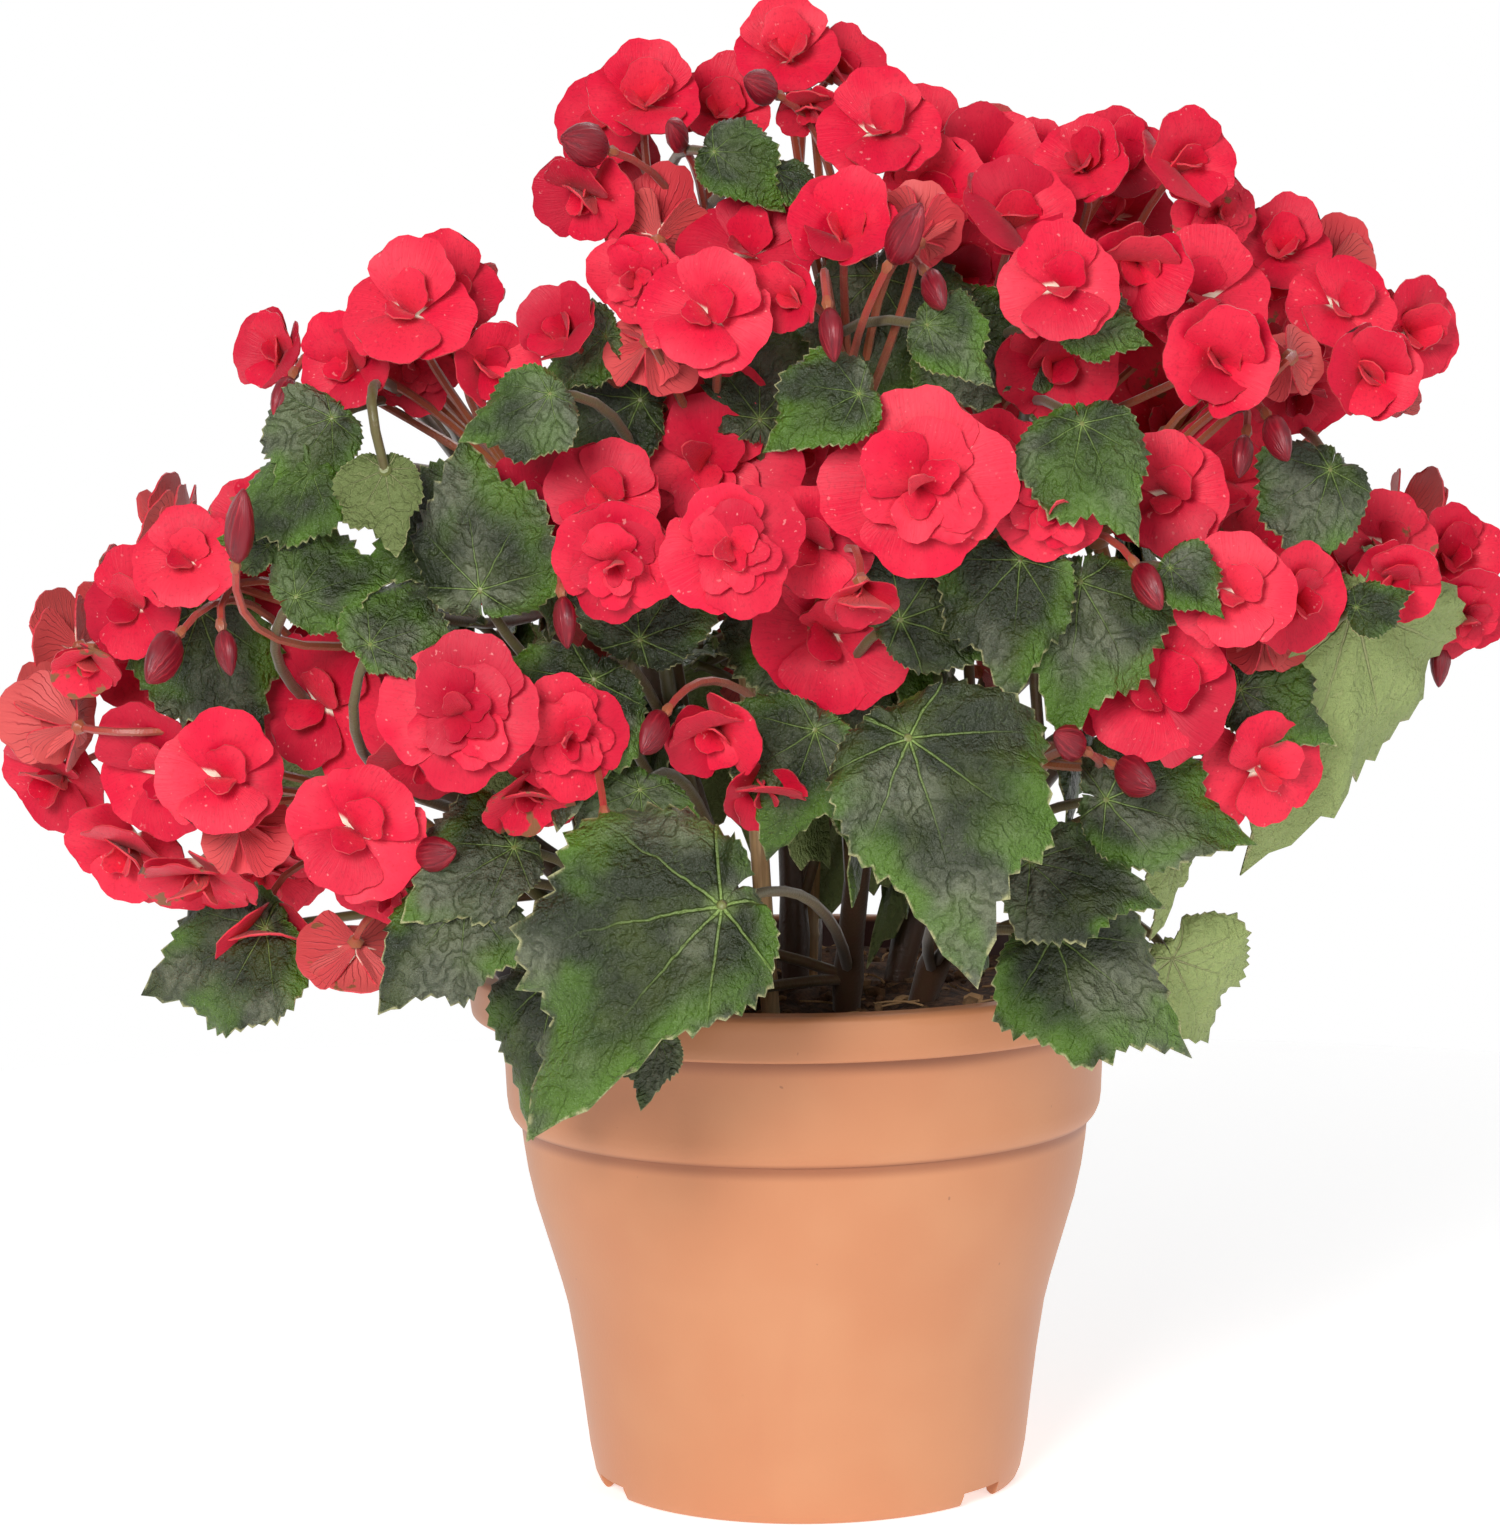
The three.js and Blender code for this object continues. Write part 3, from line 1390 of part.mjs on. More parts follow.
const order = [...stakeKits, ...sprayKits, ...caneKits];
order.forEach((node) => {
  node.fatStalkBody = join(node.fatStalks);
});
order.forEach((node, i) => {
  let blades = join(node.blades);
  order.forEach((other, k) => {
    if (k === i || !node.blades.length) return;
    if (overlaps(blades, other.fatStalkBody)) blades = blades.subtract(other.fatStalkBody);
    if (k < i && other.fatBladeBody && overlaps(blades, other.fatBladeBody)) {
      blades = blades.subtract(other.fatBladeBody);
    }
  });
  if (node.blades.length) blades = blades.subtract(potRoom);
  let stalks = join(node.stalks);
  order.forEach((other, k) => {
    if (k >= i) return;
    if (overlaps(stalks, other.fatStalkBody)) stalks = stalks.subtract(other.fatStalkBody);
  });
  const whole = node.blades.length ? Manifold.union(stalks, blades) : stalks;
  const body = biggest(whole);
  node.fatBladeBody = node.fatBlades.length ? join(node.fatBlades) : null;
  nodes.push({ name: node.name, kind: node.kind, body: biggest(body.simplify(CLEARANCE / 10)) });
});

const pot = potSolid();
const soil = biggest(
  soilSolid().subtract(join([...stakeKits, ...caneKits].map((node) => node.fatStalks[0]))),
);

// Looks and names.

const material = (color, roughness) =>
  new THREE.MeshStandardMaterial({ color, roughness, metalness: 0 });
const MATERIALS = {
  pot: material(0xd08a66, 0.45),
  soil: material(0x2e201a, 0.95),
  stake: material(0xbe966e, 0.7),
  stem: material(0x3d5a2c, 0.5),
  spray: material(0xd8303f, 0.5),
};

const meshOf = (name, kind, body) => {
  const data = body.getMesh();
  const geometry = new THREE.BufferGeometry();
  const places = new Float32Array(data.numVert * 3);
  for (let i = 0; i < data.numVert; i += 1) {
    for (let k = 0; k < 3; k += 1) {
      places[i * 3 + k] = data.vertProperties[i * data.numProp + k];
    }
  }
  geometry.setAttribute("position", new THREE.BufferAttribute(places, 3));
  geometry.setIndex(new THREE.BufferAttribute(new Uint32Array(data.triVerts), 1));
  geometry.computeVertexNormals();
  const mesh = new THREE.Mesh(geometry, MATERIALS[kind]);
  mesh.name = name;
  return mesh;
};

const plant = new THREE.Group();
plant.name = "potted_begonia";
plant.position.set(POT_AXIS_X, POT_AXIS_Y, 0);
plant.add(meshOf("pot", "pot", pot));
plant.add(meshOf("soil", "soil", soil));
nodes.forEach((node) => plant.add(meshOf(node.name, node.kind, node.body)));

const root = new THREE.Group();
root.add(plant);
export default root;
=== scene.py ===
"""A potted begonia: a round plastic pot, soil, bamboo sticks, leafy stems and flower sprays.

Places are worked out in millimetres from the pot's axis, by the same rows and rules as the solids,
and turned into metres of the frame when a mesh is made.
"""

import json
import logging
import math
from dataclasses import dataclass, field
from enum import Enum
from typing import Iterable, Sequence

import bpy
import numpy as np
from mathutils import Matrix, Vector

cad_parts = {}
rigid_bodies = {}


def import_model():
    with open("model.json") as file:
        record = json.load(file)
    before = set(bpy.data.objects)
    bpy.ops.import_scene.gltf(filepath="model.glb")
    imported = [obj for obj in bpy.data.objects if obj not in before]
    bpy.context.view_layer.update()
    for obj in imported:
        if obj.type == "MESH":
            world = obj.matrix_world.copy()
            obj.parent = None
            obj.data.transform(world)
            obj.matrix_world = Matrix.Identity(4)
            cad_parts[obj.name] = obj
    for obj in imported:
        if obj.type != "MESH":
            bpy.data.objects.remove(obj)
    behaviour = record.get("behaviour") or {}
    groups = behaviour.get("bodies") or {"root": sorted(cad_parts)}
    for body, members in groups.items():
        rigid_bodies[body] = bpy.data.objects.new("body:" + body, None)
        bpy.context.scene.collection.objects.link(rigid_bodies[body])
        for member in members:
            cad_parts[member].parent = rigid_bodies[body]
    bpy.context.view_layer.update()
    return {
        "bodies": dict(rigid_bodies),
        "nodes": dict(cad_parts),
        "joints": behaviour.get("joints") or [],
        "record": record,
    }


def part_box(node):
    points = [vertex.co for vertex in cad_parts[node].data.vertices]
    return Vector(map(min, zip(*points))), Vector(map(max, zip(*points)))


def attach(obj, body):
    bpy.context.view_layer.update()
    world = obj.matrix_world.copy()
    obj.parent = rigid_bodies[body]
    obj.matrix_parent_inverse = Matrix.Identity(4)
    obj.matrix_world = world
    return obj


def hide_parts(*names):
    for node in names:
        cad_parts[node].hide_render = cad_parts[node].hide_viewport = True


LOG = logging.getLogger("begonia")
MM = 0.001
TURN = 2 * math.pi
Triple = tuple[float, float, float]


class Kind(Enum):
    """The form that a bloom has."""

    OPEN = "open"
    PLAIN = "plain"
    DOUBLE = "double"
    CUP = "cup"
    FOLDED = "folded"
    BUD = "bud"


@dataclass(frozen=True)
class BloomRow:
    """A bloom as the picture shows it: picture place, width in mm, facing, depth and form."""

    column: float
    row: float
    width: float
    face_x: float
    face_z: float
    side: int
    behind: float
    kind: Kind


@dataclass(frozen=True)
class SprayPlan:
    """A flower spray: its name, the cane it grows from, at which share of it, and its blooms."""

    name: str
    cane: int
    share: float
    blooms: tuple[BloomRow, ...]


@dataclass(frozen=True)
class LeafRow:
    """A leaf as the picture shows it: its junction, length in mm, direction, facing and stalk."""

    column: float
    row: float
    long: float
    direction: float
    face_x: float
    face_z: float
    side: int
    behind: float
    share: float


@dataclass(frozen=True)
class CanePlan:
    """A cane's route in mm from the pot's axis, and the leaves that grow from it."""

    path: tuple[Triple, ...]
    leaves: tuple[LeafRow, ...]


# Rows read from the picture, in the order of the sprays and canes

SPRAYS = (
    SprayPlan(
        "spray_left_top",
        1,
        0.9,
        (
            BloomRow(181, 552, 32, -0.15, 0.35, 1, 0, Kind.OPEN),
            BloomRow(258, 518, 30, -0.2, 0.4, 1, 34, Kind.PLAIN),
            BloomRow(270, 575, 28, -0.2, 0, 1, 38, Kind.PLAIN),
            BloomRow(236, 562, 22, 0.15, 0.9, 1, -6, Kind.FOLDED),
            BloomRow(222, 630, 13, 0.2, -0.9, 1, 10, Kind.BUD),
        ),
    ),
    SprayPlan(
        "spray_left_edge",
        0,
        0.95,
        (
            BloomRow(118, 604, 36, -0.5, 0.2, 1, 8, Kind.OPEN),
            BloomRow(54, 640, 30, -0.8, 0.15, -1, 14, Kind.PLAIN),
            BloomRow(86, 668, 22, -0.1, -0.6, 1, 6, Kind.CUP),
            BloomRow(54, 720, 34, -0.7, 0.1, -1, 4, Kind.CUP),
            BloomRow(42, 788, 36, -0.5, -0.3, 1, 16, Kind.PLAIN),
            BloomRow(148, 664, 36, 0, -0.1, 1, 34, Kind.PLAIN),
            BloomRow(178, 636, 18, -0.4, -0.6, 1, -8, Kind.BUD),
        ),
    ),
    SprayPlan(
        "spray_left_low",
        0,
        0.75,
        (
            BloomRow(146, 778, 42, -0.4, -0.1, 1, 12, Kind.OPEN),
            BloomRow(220, 775, 36, 0.05, 0.2, 1, -4, Kind.OPEN),
            BloomRow(120, 864, 38, -0.3, -0.4, 1, 8, Kind.PLAIN),
            BloomRow(196, 898, 36, -0.2, -0.8, 1, 4, Kind.PLAIN),
            BloomRow(246, 834, 28, 0.1, -0.5, -1, 12, Kind.CUP),
        ),
    ),
    SprayPlan(
        "spray_left_under",
        0,
        0.6,
        (
            BloomRow(352, 832, 40, 0, 0.1, 1, -6, Kind.OPEN),
            BloomRow(266, 890, 38, 0.1, -0.5, 1, 14, Kind.PLAIN),
            BloomRow(268, 936, 34, 0, -0.7, 1, 10, Kind.CUP),
            BloomRow(388, 900, 30, 0.1, -0.45, 1, 4, Kind.DOUBLE),
            BloomRow(354, 966, 35, -0.1, -0.7, -1, 10, Kind.PLAIN),
            BloomRow(416, 857, 14, 0.8, 0.2, 1, 6, Kind.BUD),
        ),
    ),
    SprayPlan(
        "spray_left_middle",
        2,
        0.8,
        (
            BloomRow(300, 704, 44, -0.45, 0.1, 1, 10, Kind.OPEN),
            BloomRow(364, 710, 30, 0.4, -0.2, 1, 28, Kind.PLAIN),
            BloomRow(456, 712, 44, -0.1, 0.15, 1, -4, Kind.DOUBLE),
            BloomRow(432, 776, 36, 0.1, -0.7, 1, 26, Kind.PLAIN),
            BloomRow(568, 740, 34, 0.05, 0.05, 1, 4, Kind.DOUBLE),
            BloomRow(528, 802, 26, 0.1, -0.7, 1, 20, Kind.CUP),
            BloomRow(605, 818, 14, 0.1, -0.9, 1, 8, Kind.BUD),
            BloomRow(330, 648, 26, 0.2, 0.3, 1, 40, Kind.PLAIN),
        ),
    ),
    SprayPlan(
        "spray_upper_left",
        1,
        1,
        (
            BloomRow(402, 296, 37, -0.1, 0.5, 1, 0, Kind.OPEN),
            BloomRow(456, 286, 28, 0.2, 0.6, 1, 14, Kind.PLAIN),
            BloomRow(340, 364, 30, -0.5, 0.2, 1, 6, Kind.PLAIN),
            BloomRow(268, 350, 25, -0.6, 0.3, 1, 18, Kind.CUP),
            BloomRow(414, 362, 32, 0.1, 0, 1, 10, Kind.DOUBLE),
            BloomRow(492, 364, 26, 0.5, 0.1, 1, 12, Kind.CUP),
            BloomRow(292, 378, 14, -0.3, -0.8, 1, 14, Kind.BUD),
        ),
    ),
    SprayPlan(
        "spray_top_left",
        4,
        0.8,
        (
            BloomRow(648, 88, 32, 0.1, 0.55, 1, 4, Kind.PLAIN),
            BloomRow(592, 112, 30, -0.5, 0.35, 1, 10, Kind.OPEN),
            BloomRow(606, 158, 32, -0.5, -0.3, 1, 22, Kind.PLAIN),
            BloomRow(577, 204, 28, -0.5, -0.3, 1, 8, Kind.PLAIN),
            BloomRow(722, 102, 28, 0.1, 0.5, 1, 14, Kind.PLAIN),
            BloomRow(608, 150, 17, -0.7, 0.2, 1, -4, Kind.BUD),
            BloomRow(684, 146, 13, -0.3, 0.5, 1, 12, Kind.BUD),
        ),
    ),
    SprayPlan(
        "spray_top",
        4,
        1,
        (
            BloomRow(788, 42, 31, 0, 0.6, 1, 4, Kind.PLAIN),
            BloomRow(848, 62, 24, 0.6, 0.5, 1, 10, Kind.CUP),
            BloomRow(810, 116, 20, 0, -0.6, 1, 14, Kind.PLAIN),
            BloomRow(878, 116, 34, 0, 0.5, 1, 0, Kind.OPEN),
            BloomRow(924, 140, 30, 0.2, 0.45, 1, 22, Kind.PLAIN),
            BloomRow(936, 186, 32, 0.05, 0.4, 1, 4, Kind.CUP),
            BloomRow(776, 94, 14, -0.6, 0.3, 1, 6, Kind.BUD),
        ),
    ),
    SprayPlan(
        "spray_upper_middle",
        2,
        1,
        (
            BloomRow(654, 222, 30, -0.1, 0.5, -1, 8, Kind.PLAIN),
            BloomRow(630, 280, 26, -0.2, -0.1, 1, 2, Kind.DOUBLE),
            BloomRow(702, 304, 36, -0.15, 0.35, 1, -4, Kind.OPEN),
            BloomRow(652, 352, 26, 0.1, -0.4, -1, 14, Kind.CUP),
            BloomRow(744, 236, 38, -0.1, 0.5, 1, 10, Kind.OPEN),
            BloomRow(560, 326, 27, -0.35, 0.5, 1, 8, Kind.CUP),
        ),
    ),
    SprayPlan(
        "spray_upper_centre",
        4,
        0.65,
        (
            BloomRow(844, 222, 32, 0, 0.6, 1, -2, Kind.CUP),
            BloomRow(918, 228, 27, 0.05, 0.4, -1, 6, Kind.CUP),
            BloomRow(890, 262, 20, 0.4, 0.75, 1, -10, Kind.FOLDED),
            BloomRow(786, 298, 22, -0.5, 0.1, 1, 0, Kind.CUP),
            BloomRow(828, 308, 15, 0.1, -0.9, 1, -4, Kind.BUD),
            BloomRow(962, 280, 34, 0.2, 0, 1, 18, Kind.PLAIN),
            BloomRow(926, 274, 14, 0.3, -0.6, 1, -4, Kind.BUD),
        ),
    ),
    SprayPlan(
        "spray_centre_left",
        2,
        0.7,
        (
            BloomRow(602, 492, 32, -0.1, 0.25, 1, 2, Kind.OPEN),
            BloomRow(596, 434, 36, -0.4, 0.35, 1, 24, Kind.PLAIN),
            BloomRow(516, 512, 38, -0.35, 0.15, 1, 4, Kind.OPEN),
            BloomRow(508, 580, 24, -0.1, -0.7, 1, 16, Kind.CUP),
            BloomRow(562, 596, 14, 0.1, -0.95, 1, 6, Kind.BUD),
            BloomRow(612, 568, 36, -0.1, -0.15, 1, 0, Kind.DOUBLE),
            BloomRow(660, 556, 34, 0.2, 0, 1, 22, Kind.PLAIN),
        ),
    ),
    SprayPlan(
        "spray_centre",
        3,
        0.9,
        (
            BloomRow(705, 460, 54, -0.05, 0.12, 1, 6, Kind.DOUBLE),
            BloomRow(732, 548, 38, 0, 0.1, 1, -6, Kind.DOUBLE),
            BloomRow(806, 546, 34, -0.3, 0, 1, 2, Kind.OPEN),
            BloomRow(800, 452, 32, 0.2, 0, 1, 36, Kind.PLAIN),
        ),
    ),
    SprayPlan(
        "spray_centre_low",
        3,
        0.7,
        (
            BloomRow(830, 642, 48, -0.05, -0.1, 1, 14, Kind.OPEN),
            BloomRow(862, 606, 22, 0, -0.8, 1, -2, Kind.CUP),
            BloomRow(712, 738, 29, -0.1, -0.4, 1, 18, Kind.CUP),
            BloomRow(765, 798, 26, 0.2, -0.6, 1, 20, Kind.CUP),
            BloomRow(665, 714, 15, -0.4, -0.6, 1, 16, Kind.BUD),
        ),
    ),
    SprayPlan(
        "spray_centre_right",
        3,
        1,
        (
            BloomRow(922, 486, 52, 0, 0.05, 1, -4, Kind.DOUBLE),
            BloomRow(1060, 508, 35, 0.2, -0.05, 1, 4, Kind.DOUBLE),
            BloomRow(1000, 470, 32, 0, 0.1, 1, 44, Kind.PLAIN),
            BloomRow(1136, 566, 15, 0.4, -0.7, 1, 8, Kind.BUD),
        ),
    ),
    SprayPlan(
        "spray_top_right",
        6,
        0.85,
        (
            BloomRow(984, 166, 34, 0.1, 0.45, 1, 6, Kind.CUP),
            BloomRow(1034, 158, 24, -0.2, 0.5, 1, 18, Kind.PLAIN),
            BloomRow(1076, 156, 28, -0.3, 0.5, 1, 8, Kind.PLAIN),
            BloomRow(1126, 152, 30, 0.2, 0.5, 1, 12, Kind.PLAIN),
            BloomRow(1110, 206, 34, -0.2, 0.4, 1, 22, Kind.PLAIN),
            BloomRow(1018, 212, 34, 0.1, 0.5, 1, 4, Kind.CUP),
            BloomRow(1062, 282, 35, 0, 0.2, 1, -8, Kind.OPEN),
        ),
    ),
    SprayPlan(
        "spray_right_top",
        6,
        1,
        (
            BloomRow(1190, 160, 31, 0.35, 0.4, 1, 0, Kind.CUP),
            BloomRow(1226, 212, 26, 0.3, 0.1, 1, 4, Kind.DOUBLE),
            BloomRow(1138, 270, 30, 0, -0.3, 1, 4, Kind.CUP),
            BloomRow(1130, 322, 32, -0.2, -0.1, 1, 28, Kind.PLAIN),
            BloomRow(1208, 286, 36, 0.1, 0.35, 1, 4, Kind.OPEN),
            BloomRow(1220, 358, 33, 0.05, 0.15, 1, -8, Kind.CUP),
        ),
    ),
    SprayPlan(
        "spray_right_high",
        6,
        0.95,
        (
            BloomRow(1284, 242, 29, 0.1, 0.45, 1, 10, Kind.PLAIN),
            BloomRow(1334, 262, 29, 0.3, 0.4, -1, 16, Kind.PLAIN),
            BloomRow(1276, 282, 30, 0.15, 0.2, 1, 14, Kind.PLAIN),
            BloomRow(1350, 298, 32, 0.25, 0.4, 1, 6, Kind.OPEN),
            BloomRow(1422, 332, 34, 0.4, 0.1, 1, 8, Kind.PLAIN),
            BloomRow(1370, 372, 30, 0.05, 0.1, 1, -8, Kind.CUP),
        ),
    ),
    SprayPlan(
        "spray_right_middle",
        5,
        0.95,
        (
            BloomRow(1284, 362, 24, -0.1, -0.2, -1, 4, Kind.CUP),
            BloomRow(1312, 350, 28, 0.3, 0, 1, 14, Kind.PLAIN),
            BloomRow(1302, 404, 30, 0.2, -0.5, 1, 8, Kind.PLAIN),
            BloomRow(1170, 420, 42, 0, 0.2, 1, 36, Kind.PLAIN),
            BloomRow(1164, 494, 36, -0.2, 0.1, 1, 20, Kind.OPEN),
            BloomRow(1236, 478, 44, 0.15, 0.15, 1, 10, Kind.OPEN),
            BloomRow(1268, 418, 15, 0.3, -0.7, 1, 0, Kind.BUD),
            BloomRow(1246, 436, 13, -0.2, -0.8, 1, 6, Kind.BUD),
        ),
    ),
    SprayPlan(
        "spray_right_edge",
        5,
        1,
        (
            BloomRow(1388, 538, 31, 0.1, 0.3, 1, 4, Kind.OPEN),
            BloomRow(1398, 588, 27, 0.1, -0.2, 1, 2, Kind.PLAIN),
            BloomRow(1460, 554, 29, 0.25, 0.3, 1, 6, Kind.PLAIN),
            BloomRow(1472, 624, 30, 0.2, -0.3, 1, 4, Kind.DOUBLE),
            BloomRow(1336, 548, 34, 0, 0, 1, 34, Kind.PLAIN),
            BloomRow(1442, 638, 14, -0.1, -0.95, 1, 4, Kind.BUD),
        ),
    ),
    SprayPlan(
        "spray_right_low",
        5,
        0.8,
        (
            BloomRow(1234, 588, 33, -0.1, 0.3, 1, -8, Kind.OPEN),
            BloomRow(1274, 550, 32, 0.2, 0.35, 1, 8, Kind.PLAIN),
            BloomRow(1308, 602, 32, 0.45, 0, 1, 2, Kind.PLAIN),
            BloomRow(1264, 638, 24, 0.1, -0.5, -1, 2, Kind.CUP),
            BloomRow(1157, 684, 47, 0, 0.2, 1, 0, Kind.OPEN),
        ),
    ),
    SprayPlan(
        "spray_right_small",
        5,
        0.55,
        (
            BloomRow(1279, 772, 37, 0.45, 0, 1, 0, Kind.OPEN),
            BloomRow(1084, 750, 14, -0.6, 0.4, 1, 10, Kind.BUD),
            BloomRow(1116, 766, 16, 0.6, -0.3, 1, 6, Kind.BUD),
        ),
    ),
    SprayPlan(
        "spray_middle_right",
        6,
        0.6,
        (
            BloomRow(1016, 346, 38, 0, 0, 1, 46, Kind.PLAIN),
            BloomRow(1060, 366, 36, 0.2, 0, 1, 40, Kind.PLAIN),
            BloomRow(998, 372, 36, 0, -0.1, 1, 62, Kind.PLAIN),
        ),
    ),
)

CANES = (
    CanePlan(
        ((-30, -8, 96), (-36, -12, 140), (-74, -30, 186), (-122, -38, 218)),
        (
            LeafRow(296, 597, 27, 20, -0.1, 0.4, 1, 10, 0.95),
            LeafRow(370, 645, 27, 60, 0.1, 0.5, 1, 10, 0.8),
            LeafRow(468, 896, 36, 232, -0.2, 0.4, 1, 6, 0.45),
            LeafRow(514, 848, 34, 218, 0, 0.6, 1, 22, 0.4),
            LeafRow(266, 928, 40, 202, -0.3, 0.3, 1, 30, 0.6),
            LeafRow(200, 610, 40, 290, -0.2, 0.2, 1, 42, 1),
        ),
    ),
    CanePlan(
        ((-22, 20, 96), (-26, 24, 142), (-66, 34, 236), (-104, 34, 306)),
        (
            LeafRow(312, 472, 26, 215, -0.2, 0.4, 1, 16, 0.85),
            LeafRow(332, 418, 26, 240, -0.1, 0.4, 1, 20, 0.95),
            LeafRow(385, 470, 22, 280, 0.1, -0.3, -1, 18, 0.9),
            LeafRow(470, 522, 30, 205, -0.1, 0.3, 1, 34, 0.8),
            LeafRow(268, 546, 14, 160, -0.2, 0.5, 1, 14, 0.75),
            LeafRow(606, 336, 22, 215, -0.4, 0.3, 1, 30, 1),
        ),
    ),
    CanePlan(
        ((-8, -26, 96), (-12, -30, 142), (-34, -52, 214), (-48, -64, 268)),
        (
            LeafRow(550, 394, 24, 205, -0.1, 0.35, 1, 2, 0.95),
            LeafRow(480, 590, 38, 100, -0.2, 0.1, 1, 22, 0.7),
            LeafRow(640, 640, 34, 60, 0, 0.3, 1, 40, 0.6),
            LeafRow(594, 680, 38, 255, -0.1, 0.15, 1, 38, 0.6),
            LeafRow(640, 790, 30, 240, 0, 0.2, 1, 34, 0.45),
        ),
    ),
    CanePlan(
        ((12, -24, 96), (12, -30, 142), (18, -60, 206), (26, -78, 256)),
        (
            LeafRow(722, 905, 71, 231, -0.12, 0.42, 1, -22, 0.3),
            LeafRow(560, 975, 42, 258, -0.45, 0.3, 1, 12, 0.2),
            LeafRow(660, 1040, 17, 255, 0, 0.4, 1, -12, 0.15),
            LeafRow(908, 738, 56, 284, 0.1, 0.4, 1, -10, 0.6),
            LeafRow(859, 394, 26, 210, 0, 0.45, 1, 4, 1),
            LeafRow(900, 620, 40, 20, 0.1, 0.2, 1, 30, 0.75),
            LeafRow(815, 730, 34, 250, 0.05, 0.1, 1, 36, 0.5),
        ),
    ),
    CanePlan(
        ((-2, 8, 96), (-2, 10, 144), (-4, 14, 246), (-2, 12, 350)),
        (
            LeafRow(714, 152, 21, 320, 0, 0.35, 1, 0, 0.95),
            LeafRow(776, 172, 15, 330, 0.2, 0.6, 1, 10, 1),
            LeafRow(927, 325, 21, 318, 0.1, 0.35, 1, -2, 0.75),
            LeafRow(760, 420, 34, 90, 0, 0.3, 1, 52, 0.6),
            LeafRow(876, 276, 40, 265, 0, 0.2, 1, 44, 0.9),
            LeafRow(950, 320, 32, 330, 0.1, 0.3, 1, 46, 0.85),
            LeafRow(640, 400, 34, 170, -0.2, 0.2, 1, 50, 0.7),
        ),
    ),
    CanePlan(
        ((30, -14, 96), (34, -18, 142), (66, -44, 206), (110, -46, 250)),
        (
            LeafRow(1055, 936, 44, 318, 0.12, 0.45, 1, -8, 0.1),
            LeafRow(1172, 958, 34, 300, 0.35, -0.35, 1, 6, 0.15),
            LeafRow(1030, 862, 34, 345, 0.1, 0.6, 1, 4, 0.35),
            LeafRow(1106, 800, 38, 346, 0.1, 0.35, 1, 14, 0.5),
            LeafRow(1178, 852, 22, 255, 0.85, -0.1, 1, 20, 0.4),
            LeafRow(1170, 568, 17, 315, 0, 0.4, 1, 2, 0.85),
            LeafRow(1020, 560, 34, 265, 0, 0.4, 1, 24, 0.7),
            LeafRow(1080, 582, 40, 262, 0.1, 0.3, 1, 24, 0.8),
        ),
    ),
    CanePlan(
        ((24, 18, 96), (28, 22, 142), (62, 28, 236), (98, 22, 318)),
        (
            LeafRow(1082, 424, 32, 292, 0.1, 0.35, 1, 6, 0.8),
            LeafRow(1070, 320, 21, 345, 0.1, 0.3, 1, 12, 0.9),
            LeafRow(1330, 470, 30, 250, 0.2, 0.3, 1, 6, 1),
            LeafRow(1352, 606, 70, 260, 0.6, -0.2, 1, 18, 0.6),
            LeafRow(1356, 608, 15, 20, 0, 0.4, 1, 2, 0.7),
            LeafRow(1240, 690, 26, 330, 0, 0.3, 1, 26, 0.5),
        ),
    ),
    CanePlan(
        ((2, 32, 96), (2, 38, 144), (0, 74, 220), (-2, 100, 280)),
        (),
    ),
)

# How the picture shows the plant


@dataclass(frozen=True)
class Eye:
    """The viewpoint, in mm from the pot's axis, that the rows were read from."""

    picture_width: float = 1500
    picture_height: float = 1529
    focal: float = 5673
    distance: float = 1600
    height: float = 404
    sideways: float = -14.3
    pitch: float = math.radians(7.06)
    roll: float = math.radians(-0.69)

    def seen(self, column: float, row: float, near: float) -> Vector:
        """Finds the point that a place in the picture shows.

        Args:
            column: the picture's column.
            row: the picture's row.
            near: millimetres from the pot's axis towards the viewer.

        Returns:
            The point, in millimetres from the pot's axis.
        """
        across = column - self.picture_width / 2
        down = row - self.picture_height / 2
        u = across * math.cos(self.roll) + down * math.sin(self.roll)
        slope = (down * math.cos(self.roll) - across * math.sin(self.roll)) / self.focal
        cos, sin = math.cos(self.pitch), math.sin(self.pitch)
        far = self.distance - near
        drop = (-far * (sin + slope * cos)) / (cos - slope * sin)
        along = far * cos - drop * sin
        return Vector((self.sideways + u / self.focal * along, -near, self.height + drop))

    def shown(self, at: Vector) -> tuple[float, float]:
        """Gives the place in the picture where a point shows: the reverse of seen."""
        far, drop = self.distance + at.y, at.z - self.height
        along = far * math.cos(self.pitch) - drop * math.sin(self.pitch)
        u = (at.x - self.sideways) * self.focal / along
        v = -(drop * math.cos(self.pitch) + far * math.sin(self.pitch)) * self.focal / along
        return (
            self.picture_width / 2 + u * math.cos(self.roll) - v * math.sin(self.roll),
            self.picture_height / 2 + u * math.sin(self.roll) + v * math.cos(self.roll),
        )


